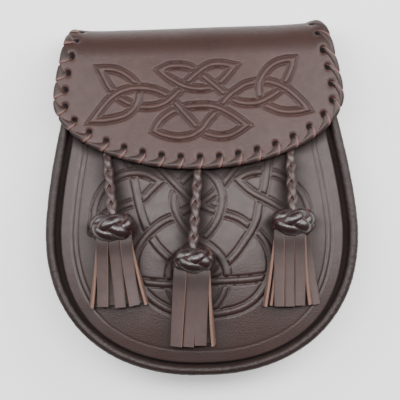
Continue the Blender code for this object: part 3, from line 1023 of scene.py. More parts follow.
PANEL_KNOT = Knotwork(
    origin=(-0.07139, 0.03565), unit=0.0000955, turn=math.radians(1.45), band=0.0045,
    strands=(
        Strand("ring", (
            (482, 137), (533, 192), (593, 257), (645, 308), (705, 364), (773, 400), (841, 428), (905, 445),
            (978, 471), (1042, 513), (1102, 560), (1149, 620), (1173, 689), (1178, 757), (1159, 838),
            (1115, 915), (1055, 975), (969, 1017), (858, 1040), (764, 1045), (670, 1041), (585, 1023),
            (508, 987), (440, 935), (390, 872), (361, 804), (354, 736), (375, 654), (418, 588), (470, 536),
            (534, 489), (600, 459), (653, 432), (713, 400), (769, 368), (833, 323), (888, 263), (940, 197),
            (987, 137))),
        Strand("heart_left", (
            (730, 180), (679, 217), (632, 268), (599, 329), (593, 389), (612, 449), (645, 505), (683, 552),
            (734, 596), (797, 633), (854, 684), (892, 744), (910, 808), (906, 867), (880, 940), (837, 1000),
            (781, 1045))),
        Strand("heart_right", (
            (764, 175), (816, 211), (860, 271), (882, 345), (874, 424), (843, 500), (794, 564), (734, 613),
            (670, 663), (611, 709), (577, 765), (566, 825), (577, 893), (611, 962), (670, 1017),
            (730, 1047))),
        Strand("left_stem", (
            (318, 106), (331, 158), (352, 252), (371, 347), (390, 428), (410, 488), (429, 535), (457, 590),
            (493, 641), (534, 684), (585, 727), (645, 782), (713, 842))),
        Strand("right_stem", (
            (1161, 106), (1155, 167), (1146, 244), (1129, 321), (1108, 394), (1096, 466), (1063, 541),
            (1012, 620), (976, 671), (935, 718), (875, 778), (807, 837))),
        Strand("left_crown", (
            (105, 552), (110, 492), (117, 424), (135, 359), (168, 299), (220, 244), (289, 208), (357, 196),
            (422, 203), (469, 225), (514, 251))),
        Strand("left_base", (
            (514, 251), (465, 297), (409, 353), (345, 378), (281, 400), (208, 437), (148, 484))),
        Strand("right_crown", (
            (974, 235), (1017, 210), (1064, 194), (1120, 189), (1184, 199), (1253, 227), (1313, 274),
            (1365, 329), (1395, 398), (1403, 449))),
        Strand("right_base", (
            (974, 235), (1025, 285), (1077, 323), (1137, 353), (1192, 383), (1252, 422), (1304, 462))),
        Strand("bar", (
            (363, 840), (448, 855), (559, 863), (679, 857), (824, 847), (935, 842), (1046, 835),
            (1166, 817))),
    ),
    crossings=(
        Crossing("ring", "heart_left", 621, 281),
        Crossing("heart_left", "ring", 611, 453),
        Crossing("heart_right", "ring", 875, 436),
        Crossing("heart_right", "ring", 871, 297),
        Crossing("heart_left", "heart_right", 746, 603),
        Crossing("ring", "left_stem", 440, 562),
        Crossing("right_stem", "ring", 1068, 535),
        Crossing("left_crown", "left_stem", 339, 197),
        Crossing("left_stem", "left_base", 378, 368),
        Crossing("right_stem", "right_crown", 1154, 194),
        Crossing("right_base", "right_stem", 1124, 347),
        Crossing("heart_left", "right_stem", 903, 752),
        Crossing("heart_right", "left_stem", 592, 731),
        Crossing("bar", "heart_left", 910, 842),
        Crossing("bar", "heart_right", 568, 862),
        Crossing("bar", "left_stem", 720, 852),
        Crossing("bar", "right_stem", 799, 847),
        Crossing("ring", "bar", 376, 842),
        Crossing("ring", "bar", 1162, 818),
        Crossing("ring", "heart_left", 790, 1044),
        Crossing("ring", "heart_right", 717, 1044),
    ),
    tips=(
        Tip("left_crown", "left_base", 514, 251),
        Tip("right_crown", "right_base", 974, 235),
    ),
)


# ---- pouch

@dataclass
class Pouch:
    """The pouch itself: panels, gusset and the two rolled welts.

    Border holds the distances of the panel's two tooled lines from its rim, border_fades the
    heights between which they fade, and border_single that below which only the outer one is left.
    Painted shadows darken the panel below the flap's edge and along each tassel; their fields say
    how much darker and how far.
    """

    finishes: Finishes
    form: PouchForm = field(default_factory=PouchForm)
    tooling: Tooling = Tooling(depth=0.00060, reach=0.00062, crown=0.00028)
    shoulder: float = 0.0015
    border: tuple[float, float] = (0.0074, 0.0102)
    border_depth: float = 0.00050
    border_reach: float = 0.00060
    border_fades: tuple[float, float] = (-0.070, -0.045)
    border_single: float = -0.06
    flap_shadow: float = 0.90
    flap_shadow_ends: tuple[float, float] = (0.0010, 0.0095)
    tassel_shadow: tuple[float, ...] = (0.85, 0.80, 0.75, 0.60, 0.15)
    outer_shadow: float = 0.5
    shadow_reach: float = 0.0056
    braid_halves: tuple[float, float] = (0.0025, 0.0030)
    skirt_halves: tuple[float, float] = (0.0100, 0.0130)
    sag: float = 0.0011
    creasing: float = 0.00030
    tongue_inner: float = 0.0090
    tongue_thick: float = 0.0012

    def build(self) -> None:
        """Makes every piece."""
        self.front_panel()
        self.back_panel()
        self.gusset()
        self.welt("front_welt", self.form.front_seam, -0.0007, seed=11)
        self.welt("back_welt", lambda y: np.full_like(y, self.form.back_seam), 0.0014, seed=12)

    def front_panel(self) -> None:
        """The domed front, z = panel_face(x, y) and on it the knotwork, a double line beside the
        rim and a rounded shoulder."""
        form = self.form
        rim = form.outline.line(form.panel_top, form.low_groove_inset)
        fine_rows, coarse_rows, fine_share = 231, 24, 0.74
        rows = np.append(np.linspace(0, fine_share, fine_rows + 1),
                         np.linspace(fine_share, 1, coarse_rows + 1)[1:])
        spots = d_grid(rim, spread(300, 0.12), rows)
        flat = spots.reshape(-1, 2)
        inset = np.abs(near_line(flat, rim)[0]).reshape(spots.shape[:2])
        x, y = spots[..., 0], spots[..., 1]
        base = np.dstack([x, y, form.panel_face(x, y)])
        inside = PANEL_KNOT.inside_near(flat).reshape(x.shape)
        border = self.border_lines(inset, y)
        relief = (self.tooling.height(inside, PANEL_KNOT.band) - self.border_depth * border
                  - rounded(inset, self.shoulder) + waves(x, y, depth=0.00010, size=0.012, seed=3))
        outer = base + facing(base) * relief[..., None]
        # tooled grooves and border lines darker, partly as dye settled in them and partly as painted shade
        hollow_dye_and_shade = np.maximum(hill(inside, 0.0005), 0.8 * border)
        # painted shade along the rim by the welt's groove, and painted shadows below the flap and tassels
        pit = np.maximum(1 - smoothstep(0.0004, 0.0015, inset), self.painted_shadows(x, y))
        shell = Shell()
        raise_wall(shell, outer, base - facing(base) * form.panel_wall, {"pit": 0.0},
                   {"hollow_dye_and_shade": hollow_dye_and_shade, "pit": pit})
        self.dress(shell, "front_panel_leather", "front_panel")

    def border_lines(self, inset: Array, y: Array) -> Array:
        """Returns how deep the lines beside the rim are, from 0 to 1: hill(inset - line) for each,
        faded to a quarter near the pouch's bottom."""
        fade = 0.25 + 0.75 * smoothstep(*self.border_fades, y)
        lines = sum(hill(inset - line, self.border_reach) for line in self.border) * fade
        outer_line = smoothstep(0.0, 0.5, 1 - np.abs(inset - self.border[0]) / 0.002)
        return lines * np.where(y < self.border_single, outer_line, 1)

    def painted_shadows(self, x: Array, y: Array) -> Array:
        """Returns the painted shadows: how much darker the panel is painted below the flap's edge
        and along each tassel, where their shadows fall.

        Args:
            x: places across the panel.
            y: places up it.
        """
        flap = FlapForm()
        share = np.clip(x / flap.outline.wide, -1, 1)
        below = flap.corner_y + flap.outline.low_edge(share) - y
        # painted shadow below the flap's edge
        found = self.flap_shadow * (1 - smoothstep(*self.flap_shadow_ends, below))
        flat = np.stack([x, y], axis=-1).reshape(-1, 2)
        for plan in TASSELS:
            (knot_x, knot_y), half = plan.knot, plan.tall / 2
            line = np.array([plan.braid, (knot_x, knot_y + half), plan.knot,
                             (knot_x, knot_y - half), (knot_x, plan.skirt_end)])
            side, along = near_line(flat, line)
            halves = (*self.braid_halves, plan.wide / 2, *self.skirt_halves)
            half_width = np.interp(along, lengths(line), halves)
            strength = np.interp(along, lengths(line), self.tassel_shadow)
            outer_side = np.sign(side) * np.sign(knot_x) > 0
            strength *= np.where(outer_side & (abs(knot_x) > plan.wide), self.outer_shadow, 1)
            beyond = np.maximum(np.abs(side) - half_width, 0)
            # painted shadow along the tassel
            shade = (strength * hill(beyond, self.shadow_reach)).reshape(x.shape)
            found = np.maximum(found, shade)
        return found

    def dress(self, shell: Shell, name: str, node: str) -> None:
        """Builds a piece of panel leather that stands for a node."""
        shell.dress(name, node, "panel_leather", [self.finishes.panel, self.finishes.edge])

    def back_panel(self) -> None:
        """The flat back, a little uneven, facing -Z: x runs from right to left along its rows."""
        form = self.form
        rim = form.outline.line(form.mouth_y, 2 * form.roll + 0.00045)
        faces = 120
        spots = d_grid(rim, -spread(faces, 0.15), np.linspace(0, 1, faces + 1))
        x, y = spots[..., 0], spots[..., 1]
        inset = np.abs(near_line(spots.reshape(-1, 2), rim)[0]).reshape(x.shape)
        face = form.back_seam - form.wall / 2
        hills = 0.00020 + waves(x, y, depth=0.00020, size=0.02, seed=5)
        uneven = hills * smoothstep(0.004, 0.02, inset)
        outer = np.dstack([x, y, face + uneven + 0.0005 * hill(inset, 0.0008)])
        behind = np.dstack([x, y, np.full_like(x, face + form.wall)])
        shell = Shell()
        # painted shade along the rim, beside the roll
        raise_wall(shell, outer, behind, {}, {"hollow_dye_and_shade": hill(inset, 0.001)})
        self.dress(shell, "back_panel_leather", "back_panel")

    def gusset(self) -> None:
        """The wall between the rolls: a grid along the outline and up its height, drawn in by
        sag·sin(πv) and creased across."""
        form = self.form
        line = form.outline.line(form.mouth_y, form.roll + 0.0012)
        columns, rows = 480, 18
        spots = at_length(line, np.linspace(0, lengths(line)[-1], columns + 1))
        away = -leftward(spots)
        v = np.linspace(0, 1, rows + 1)[:, None]
        clear = form.roll + 0.0001
        low = form.back_seam + clear
        z = low + v * (form.front_seam(spots[:, 1]) - clear - low)
        along = lengths(spots)[None, :] + 0 * v
        crease = mottle(along / 0.004, v * 3 + 0 * along, 21) * 0.5
        crease += mottle(along / 0.011, v * 1.5 + 0 * along, 22)
        bulge = np.sin(math.pi * v)
        off = ((self.creasing * crease - self.sag) * bulge)[..., None]
        outer, behind = (np.dstack([np.broadcast_to(spots, (*z.shape, 2)) + away * reach, z])
                         for reach in (off, off - form.wall))
        shell = Shell()
        # painted shade where the gusset runs in beside the rolls
        raise_wall(shell, outer, behind, {}, {"hollow_dye_and_shade": 0.6 * (1 - bulge) + 0 * z})
        self.dress(shell, "gusset_leather", "gusset")

    def welt(self, node: str, height: Callable[[Array], Array], tongue: float,
             seed: int) -> None:
        """A roll with its flat tongue, one section carried upright round the pouch.

        The section is a circle of the roll's radius, opened on its inner side for the tongue, and
        wrinkles of a tenth of a millimetre run across the roll.

        Args:
            node: the node that it stands for.
            height: height of the seam at each place.
            tongue: height of the tongue's nearer face over the roll's middle.
            seed: picks the wrinkles.
        """
        form = self.form
        line = form.outline.line(form.mouth_y, form.roll)
        faces_along, arc_points = 840, 27
        spots = at_length(line, np.linspace(0, lengths(line)[-1], faces_along + 1))
        away = -leftward(spots)
        low, high = sorted((tongue, tongue + math.copysign(self.tongue_thick, tongue)))
        start, end = (math.pi - math.asin(z / form.roll) for z in (high, low))
        turn = np.linspace(end - 2 * math.pi, start, arc_points)
        arc = np.stack([np.cos(turn), np.sin(turn)], axis=1) * form.roll
        tail = np.array([(-self.tongue_inner, high), (-self.tongue_inner, low)])
        section = np.vstack([arc, tail])
        along = lengths(spots)[:, None]
        crossed = np.append(turn, (0, 0)) * form.roll
        wrinkle = -0.00016 * np.abs(mottle(along / 0.0017 + crossed / 0.006, crossed / 0.004, seed))
        wrinkle -= 0.00006 * smoothstep(0.1, 0.6, mottle(along / 0.006, crossed / 0.003, seed + 40))
        size = 1 + wrinkle / form.roll * np.append(np.ones(len(arc)), (0, 0))
        across, up = section[:, 0] * size, section[:, 1] * size
        rings = np.dstack([spots[:, None] + away[:, None] * across[..., None],
                           height(spots[:, 1])[:, None] + up])
        shell = Shell()
        # painted shade on the roll's inner side and on its tongue, in the groove beside the panel
        shell.tube(rings, turned=True, pit=np.append(smoothstep(-0.90, -1.0, np.cos(turn)), (1, 1)))
        shell.dress(node + "_roll", node, "rolled_leather",
                    [self.finishes.roll, self.finishes.edge])


# ---- flap and lacing

@dataclass(frozen=True)
class FlapForm:
    """The flap's sizes, as the model has them: its flat outline and how it is folded."""

    outline: UOutline = UOutline(wide=0.0832, low=0.0400, middle_y=0.0, power_x=2.0,
                                 power_y=1.85, taper=0.0223, taper_run=0.0760, taper_power=1.45)
    wall: float = 0.0024
    corner_y: float = 0.0579
    fold_y: float = 0.0826
    fold_z: float = 0.0369
    rise: float = 0.184
    drop: float = 0.0021
    drop_rise: float = 0.085
    handle: float = 0.0226
    flare: float = 0.0022
    lean: float = 0.0012
    fold_run: float = 0.0530
    tail_z: float = 0.0037
    tail_run: float = 0.0200
    hole_inset: float = 0.0060
    holes_each_side: int = 14
    low_holes: int = 7
    low_pitch: float = 0.0110
    side_pitch: float = 0.00985

    @property
    def front_run(self) -> float:
        """Length of leather from the corners' line up to the fold."""
        return self.fold_y - self.corner_y

    @property
    def top_run(self) -> float:
        """Length of leather from the corners' line to the tail's end."""
        return self.front_run + self.fold_run + self.tail_run

    def surface(self, x: Array, run: Array) -> Array:
        """Folds the flat leather.

        The front is the plane z = fold_z + rise·below less a parabola that drops its sides. The
        fold is one cubic Bezier from there to the tail, which lies flat.

        Args:
            x: place across the flat flap.
            run: place up it from its corners' line.

        Returns:
            Points of its outer face.
        """
        side = (x / self.outline.half_width(run)) ** 2
        below = self.front_run - run
        front_z = self.fold_z + self.rise * below - (self.drop + self.drop_rise * below) * side
        front = np.stack([x, self.fold_y - below, front_z], axis=-1)
        handle = self.handle + self.flare * side ** 4 + self.lean * x / self.outline.wide
        slope = self.rise - self.drop_rise * side
        t = np.clip((run - self.front_run) / self.fold_run, 0, 1)
        weights = ((1 - t) ** 3, 3 * t * (1 - t) ** 2, 3 * t ** 2 * (1 - t), t ** 3)
        start_z = self.fold_z - self.drop * side
        ys = (self.fold_y, self.fold_y + handle, self.fold_y + handle, self.fold_y)
        zs = (start_z, start_z - handle * slope, self.tail_z, self.tail_z)
        fold_y = sum(weight * y for weight, y in zip(weights, ys))
        fold_z = sum(weight * z for weight, z in zip(weights, zs))
        past = np.maximum(run - self.front_run - self.fold_run, 0)
        fold = np.stack([x, fold_y - past, fold_z], axis=-1)
        return np.where((run <= self.front_run)[..., None], front, fold)

    def normal(self, x: Array, run: Array) -> Array:
        """Returns the directions out of the leather's face, by differences over 0.2 mm."""
        step = 0.0002
        across = self.surface(x + step, run) - self.surface(x - step, run)
        up = self.surface(x, run + step) - self.surface(x, run - step)
        return unit(np.cross(across, up))

    def edge(self, inset: float = 0.0) -> Array:
        """Returns the flat outline this far inside the flap's edge."""
        return self.outline.line(self.top_run, inset)

    def flat_spot(self, arc: Array, inset: float) -> Array:
        """Returns places on the flat flap.

        Args:
            arc: lengths of edge from its lowest point, counted up the right side.
            inset: how far inside the edge.
        """
        line, whole = self.edge(inset), lengths(self.edge())[-1]
        total = lengths(line)[-1]
        return at_length(line, total / 2 + arc * total / whole)

    def hole_arc(self, number: Array) -> Array:
        """Returns the length of edge at each lacing hole, number 0 being the lowest."""
        count = np.abs(number)
        arc = self.low_pitch * np.minimum(count, self.low_holes)
        arc = arc + self.side_pitch * np.maximum(count - self.low_holes, 0)
        inner = lengths(self.edge(self.hole_inset))[-1]
        return np.sign(number) * arc * lengths(self.edge())[-1] / inner

    @property
    def hole_arcs(self) -> Array:
        """Length of edge at every hole, from the left top one round to the right top one."""
        return self.hole_arc(np.arange(-self.holes_each_side, self.holes_each_side + 1))

    @property
    def hole_spots(self) -> Array:
        """Place of every hole's middle on the flat flap, in the same order."""
        return self.flat_spot(self.hole_arcs, self.hole_inset)


@dataclass(frozen=True)
class LacePoint:
    """A place on one stitch: its share of the way to the next hole, how far inside the edge and
    over the face, the lace's width there as a share of the same way, its thickness, and how much
    shade is painted on it."""

    share: float
    inset: float
    height: float
    wide: float
    thick: float
    pit: float = 0.0


@dataclass
class LacedFlap:
    """The flap with its punched and tooled leather, and the lace round its edge.

    Its grid's faces are counted up the front, over the fold as far as the holes reach, over the
    rest of it and down the tail. Rows are close as far as the holes reach, so that the rings bent
    round two neighbours stay apart.
    """

    finishes: Finishes
    form: FlapForm = field(default_factory=FlapForm)
    tooling: Tooling = field(default_factory=Tooling)
    faces_across: int = 390
    front_faces: int = 138
    hole_faces: int = 63
    fold_faces: int = 12
    tail_faces: int = 9
    holes_reach: float = 0.035
    bent_lines: int = 9
    hole_radius: float = 0.00160
    crossing_share: float = 0.45
    scallop: float = 0.00045
    # how strongly shade is painted over the fold
    fold_shade: float = 0.8
    edge_round: float = 0.0011
    plug_radius: float = 0.0018
    plug_heights: tuple[float, float] = (-0.0022, -0.0011)
    lace_sides: int = 24
    lace_square: float = 3.2
    lace_step: float = 0.0004
    lace_bare_from: tuple[float, float] = (0.93, 0.50)
    lace_tilt: float = 0.00042
    lace_crown: float = 0.00024
    # the last number of each place is painted shade: in the holes, round the flap's edge and under it
    stitch: tuple[LacePoint, ...] = (
        LacePoint(0.00, 0.0060, -0.0020, 0.34, 0.0010, 1.0),
        LacePoint(0.00, 0.0055, -0.0011, 0.32, 0.0010, 1.0),
        LacePoint(0.00, 0.0049, -0.0005, 0.32, 0.0009, 0.8),
        LacePoint(0.02, 0.0041, 0.0000, 0.38, 0.0008),
        LacePoint(0.14, 0.0028, 0.0001, 0.58, 0.0008),
        LacePoint(0.32, 0.0014, 0.0001, 0.82, 0.0008),
        LacePoint(0.41, 0.0003, -0.0004, 0.92, 0.0008, 0.15),
        LacePoint(0.43, -0.0002, -0.0013, 0.93, 0.0008, 0.65),
        LacePoint(0.45, 0.0003, -0.0024, 0.92, 0.0008, 0.80),
        LacePoint(0.54, 0.0015, -0.0029, 0.80, 0.0008, 0.10),
        LacePoint(0.74, 0.0034, -0.0030, 0.55, 0.0008),
        LacePoint(0.95, 0.0054, -0.0031, 0.36, 0.0010, 0.6),
    )

    def build(self) -> None:
        """Makes the flap and its lace."""
        self.leather()
        self.lace()

    def lattice(self) -> Array:
        """Returns the flat grid: rows from the lower edge up the front, then over the fold and
        down the tail, and columns closer together at the sides."""
        form = self.form
        share = spread(self.faces_across, 0.15)
        low = form.outline.low_edge(share)
        front = low + np.linspace(0, 1, self.front_faces + 1)[:, None] * (form.front_run - low)
        over = form.front_run + np.concatenate([
            np.linspace(0, self.holes_reach, self.hole_faces + 1)[1:],
            np.linspace(self.holes_reach, form.fold_run, self.fold_faces + 1)[1:],
            form.fold_run + np.linspace(0, form.tail_run, self.tail_faces + 1)[1:]])
        run = np.vstack([front, np.broadcast_to(over[:, None], (len(over), len(share)))])
        return np.stack([share * form.outline.half_width(run), run], axis=-1)

    def open_holes(self, flat: Array) -> list[tuple[int, int]]:
        """Bends the flat grid round each lacing hole.

        Rings of grid lines round the hole's middle become circles near it, r = radius + the
        ring's own spacing, and keep their own shape bent_lines away.

        Args:
            flat: the flat grid, changed in place.

        Returns:
            Row and column of each hole's middle.
        """
        found, span = [], self.bent_lines
        for place in self.form.hole_spots:
            reach = np.linalg.norm(flat[::COARSE, ::COARSE] - place, axis=-1)
            row, column = (COARSE * k for k in np.unravel_index(reach.argmin(), reach.shape))
            rows = slice(max(row - span, 0), row + span + 1)
            columns = slice(max(column - span, 0), column + span + 1)
            block = flat[rows, columns]
            lines = np.indices(block.shape[:2]).transpose(1, 2, 0) + (rows.start, columns.start)
            ring = np.abs(lines - (row, column)).max(-1)
            middle = flat[row, column].copy()
            off = block - middle
            pace = np.linalg.norm(off, axis=-1) / np.maximum(ring, 1)
            target = (self.hole_radius * np.minimum(ring / COARSE, 1)
                      + pace * np.maximum(ring - COARSE, 0))
            keep = smoothstep(COARSE, span, ring)[..., None]
            circle = unit(off) * target[..., None]
            flat[rows, columns] = middle + (1 - keep) * (place - middle + circle) + keep * off
            found.append((int(row), int(column)))
        return found

    def leather(self) -> None:
        """The flap's leather: the folded surface and, along its normals, the knotwork, dimples at
        the holes, and a rounded edge that swells between the stitches."""
        form = self.form
        flat = self.lattice()
        holes = self.open_holes(flat)
        edge = form.edge()
        inset, along = (value.reshape(flat.shape[:2])
                        for value in near_line(flat.reshape(-1, 2), edge))
        inset = np.abs(inset)
        arcs = form.hole_arcs
        pulls = lengths(edge)[-1] / 2 + arcs[1:] + (arcs[:-1] - arcs[1:]) * self.crossing_share
        pull = sum(hill(along - place, 0.0034) for place in pulls)
        near_edge = np.maximum(1 - inset / 0.004, 0) ** 2
        inward = np.stack([np.interp(along, lengths(edge), part) for part in leftward(edge).T], -1)
        moved = flat + (self.scallop * pull * near_edge)[..., None] * inward
        x, run = moved[..., 0], moved[..., 1]
        base = form.surface(x, run)
        out = facing(base)
        charted = np.stack([x, form.corner_y + run], -1).reshape(-1, 2)
        inside = FLAP_KNOT.inside_near(charted).reshape(x.shape)
        inside = np.where(run < form.front_run, inside, -FLAP_KNOT.band)
        beyond = self.hole_reach(flat, holes) - self.hole_radius
        dimple = 0.00050 * hill(np.maximum(beyond, 0), 0.0012)
        lip = 0.00030 * hill(np.maximum(beyond, 0), 0.00030)
        swell = 0.00015 * (1 - np.minimum(pull, 1)) * hill(inset - 0.0022, 0.0020)
        sink = 0.00020 * np.minimum(pull, 1) * hill(inset, 0.0022)
        relief = (self.tooling.height(inside, FLAP_KNOT.band) - dimple - lip
                  - rounded(inset, self.edge_round) + swell - sink
                  + waves(x, run, depth=0.00012, size=0.014, seed=8))
        # tooled grooves darker, partly as dye settled in them and partly as painted shade; painted shade
        # round the holes
        hollow_dye_and_shade = np.maximum(hill(inside, 0.0005), 0.5 * hill(beyond, 0.0004))
        # painted shade over the fold
        folded = smoothstep(form.front_run - 0.002, form.front_run + 0.005, run)
        hollow_dye_and_shade = np.maximum(hollow_dye_and_shade, self.fold_shade * folded)
        shell = Shell()
        raise_wall(shell, base + out * relief[..., None], base - out * form.wall,
                   {"cut": 0.6}, {"hollow_dye_and_shade": hollow_dye_and_shade}, holes)
        shell.dress("flap_leather", "flap", "flap_leather",
                    [self.finishes.flap, self.finishes.edge])

    @staticmethod
    def hole_reach(flat: Array, holes: list[tuple[int, int]]) -> Array:
        """Returns the distance of each place from the nearest hole's middle.

        Args:
            flat: the flat grid.
            holes: row and column of each hole's middle.
        """
        reach = np.full(flat.shape[:2], 1.0)
        for row, column in holes:
            reach = np.minimum(reach, np.linalg.norm(flat - flat[row, column], axis=-1))
        return reach

    def flat_spots(self, arc: Array, inset: Array) -> Array:
        """Returns places on the flat flap, from a table of 1500 by 16.

        Args:
            arc: lengths of edge from its lowest point.
            inset: how far inside the edge, in the same layout.
        """
        arcs = np.linspace(arc.min(), arc.max(), 1500)
        insets = np.linspace(inset.min(), inset.max(), 16)
        table = np.stack([self.form.flat_spot(arcs, depth) for depth in insets])
        row = (inset - insets[0]) / (insets[1] - insets[0])
        column = (arc - arcs[0]) / (arcs[1] - arcs[0])
        i = np.clip(row.astype(int), 0, len(insets) - 2)
        j = np.clip(column.astype(int), 0, len(arcs) - 2)
        s, t = (row - i)[..., None], (column - j)[..., None]
        return ((table[i, j] * (1 - s) + table[i + 1, j] * s) * (1 - t)
                + (table[i, j + 1] * (1 - s) + table[i + 1, j + 1] * s) * t)

    def lace(self) -> None:
        """The lace, whip-stitched clockwise: a flat strip, bent to the flap, whose width lies
        along the flap's edge and fans out there.

        In the coordinates (length of edge a, inset i, height h) every stitch is a smooth line,
        and the section's point (p, q) is at a + p·wide/2 and at
        (i, h) + (q·thick/2 + crown·(1 - p²) + tilt·p)·m, with m square to the line in i and h.
        The painted shade runs along that line as tiny numbers, so that it adds nothing to its length.
        """
        form, tiny = self.form, 0.001
        arcs = form.hole_arcs[::-1]
        here, pitch = arcs[:-1], arcs[:-1] - arcs[1:]
        rows = [np.stack([here - turn.share * pitch, turn.inset + 0 * pitch,
                          turn.height + 0 * pitch, turn.wide * pitch, turn.thick + 0 * pitch,
                          turn.pit * tiny + 0 * pitch], axis=1) for turn in self.stitch]
        line = smooth_line(np.stack(rows, axis=1).reshape(-1, len(rows[0][0])), self.lace_step)
        arc, inset, height, wide, thick, pit = (line[:, k:k + 1] for k in range(line.shape[1]))
        run = unit(np.gradient(line[:, 1:3], axis=0))
        p, q = section_of(self.lace_sides, self.lace_square)
        tilt = self.lace_tilt * smoothstep(-0.0010, 0.0, height)
        lift = q * thick / 2 + self.lace_crown * (1 - p ** 2) * (q > 0) + tilt * p
        flat = self.flat_spots(arc + p * wide / 2, inset + lift * run[:, 1:])
        shell = Shell()
        shell.tube(self.over_face(flat, height - lift * run[:, :1]), ends={"cut": 1.0},
                   cut=bare_share(p, *self.lace_bare_from), pit=pit / tiny)
        self.plugs(shell)
        shell.dress("flap_lace_strip", "flap_lace", "lace_leather", [self.finishes.lace])

    def over_face(self, flat: Array, height: Array) -> Array:
        """Returns the points at these heights over flat places, once the flap is folded."""
        x, run = flat[..., 0], flat[..., 1]
        return self.form.surface(x, run) + self.form.normal(x, run) * height[..., None]

    def plugs(self, shell: Shell) -> None:
        """Adds the lace's turns deep in the holes: in each a disc bent to the flap, at
        middle + r·(cos t, sin t) and between two heights under the flap's face."""
        turn = np.linspace(0, 2 * math.pi, self.lace_sides, endpoint=False)
        circle = self.plug_radius * np.stack([np.cos(turn), np.sin(turn)], axis=-1)
        heights = np.repeat(self.plug_heights, self.lace_sides).reshape(2, -1)
        for middle in self.form.hole_spots:
            flat = middle + np.stack([circle, circle])
            # painted wholly in shade, so that the holes show dark
            shell.tube(self.over_face(flat, heights), ends={"pit": 1.0}, pit=1.0)


# ---- tassels

class Showing(Enum):
    """Which side of a fringe's strip shows from the front, as its turn in degrees."""

    FACE = 0.0
    LEFT_EDGE = 102.0
    RIGHT_EDGE = -102.0


@dataclass(frozen=True)
class StripPlan:
    """A strip of the fringe: where it starts and ends across, from the knot's middle, its layer
    (0 the front one), how much shorter it is than the longest, what shows, and its width."""

    top: float
    tip: float
    layer: float = 0.0
    short: float = 0.0
    showing: Showing = Showing.FACE
    wide: float = 0.0066


@dataclass(frozen=True)
class TasselPlan:
    """One tassel: its braid's head under the flap, its knot's middle, width and height, the height
    where its skirt ends, the braid's length, the strips, and the angle where the knot's lace
    starts."""

    name: str
    braid: tuple[float, float]
    knot: tuple[float, float]
    wide: float
    tall: float
    skirt_end: float
    length: float
    strips: tuple[StripPlan, ...]
    knot_turn: float


TASSELS = (
    TasselPlan("left", braid=(-0.0530, 0.0262), knot=(-0.0504, -0.0149), wide=0.0250, tall=0.0152,
               skirt_end=-0.0605, length=0.0380, knot_turn=1.20, strips=(
        StripPlan(-0.0080, -0.0136, 1.6, 0.0002, Showing.LEFT_EDGE, 0.0064),
        StripPlan(-0.0063, -0.0070, 0.0, 0.0006),
        StripPlan(0.0004, 0.0030, 0.0, 0.0000),
        StripPlan(0.0071, 0.0111, 0.0, 0.0010),
        StripPlan(0.0088, 0.0180, 1.6, 0.0014, Showing.RIGHT_EDGE, 0.0060),
        StripPlan(-0.0030, -0.0016, 2.4, 0.0012, wide=0.0050),
        StripPlan(0.0030, 0.0068, 2.4, 0.0020, wide=0.0050),
        StripPlan(-0.0066, -0.0100, 2.6, 0.0016, wide=0.0050),
        StripPlan(0.0076, 0.0150, 2.6, 0.0022, wide=0.0050),
    )),
    TasselPlan("middle", braid=(-0.0018, 0.0175), knot=(-0.0053, -0.0347), wide=0.0242, tall=0.0140,
               skirt_end=-0.0838, length=0.0480, knot_turn=1.95, strips=(
        StripPlan(-0.0074, -0.0109, 0.0, 0.0004, wide=0.0072),
        StripPlan(-0.0008, -0.0040, 0.0, 0.0000, wide=0.0066),
        StripPlan(0.0058, 0.0029, 0.0, 0.0006, wide=0.0070),
        StripPlan(0.0080, 0.0104, 1.4, 0.0004, Showing.RIGHT_EDGE, 0.0072),
        StripPlan(-0.0040, -0.0070, 2.4, 0.0020, wide=0.0050),
        StripPlan(0.0024, -0.0002, 2.4, 0.0014, wide=0.0050),
        StripPlan(0.0070, 0.0070, 2.6, 0.0016, wide=0.0050),
    )),
    TasselPlan("right", braid=(0.0518, 0.0265), knot=(0.0520, -0.0145), wide=0.0244, tall=0.0145,
               skirt_end=-0.0623, length=0.0380, knot_turn=0.95, strips=(
        StripPlan(-0.0094, -0.0172, 1.4, 0.0004, Showing.LEFT_EDGE, 0.0060),
        StripPlan(-0.0090, -0.0140, 1.8, 0.0008, Showing.LEFT_EDGE, 0.0052),
        StripPlan(-0.0080, -0.0090, 0.0, 0.0002, wide=0.0060),
        StripPlan(-0.0024, -0.0031, 0.0, 0.0000, wide=0.0060),
        StripPlan(0.0032, 0.0028, 0.0, 0.0004, wide=0.0060),
        StripPlan(0.0058, 0.0088, 1.4, 0.0008, Showing.RIGHT_EDGE, 0.0056),
        StripPlan(0.0066, 0.0122, 2.2, 0.0006, wide=0.0050),
        StripPlan(-0.0050, -0.0062, 2.6, 0.0016, wide=0.0050),
        StripPlan(0.0010, 0.0000, 2.6, 0.0020, wide=0.0050),
    )),
)


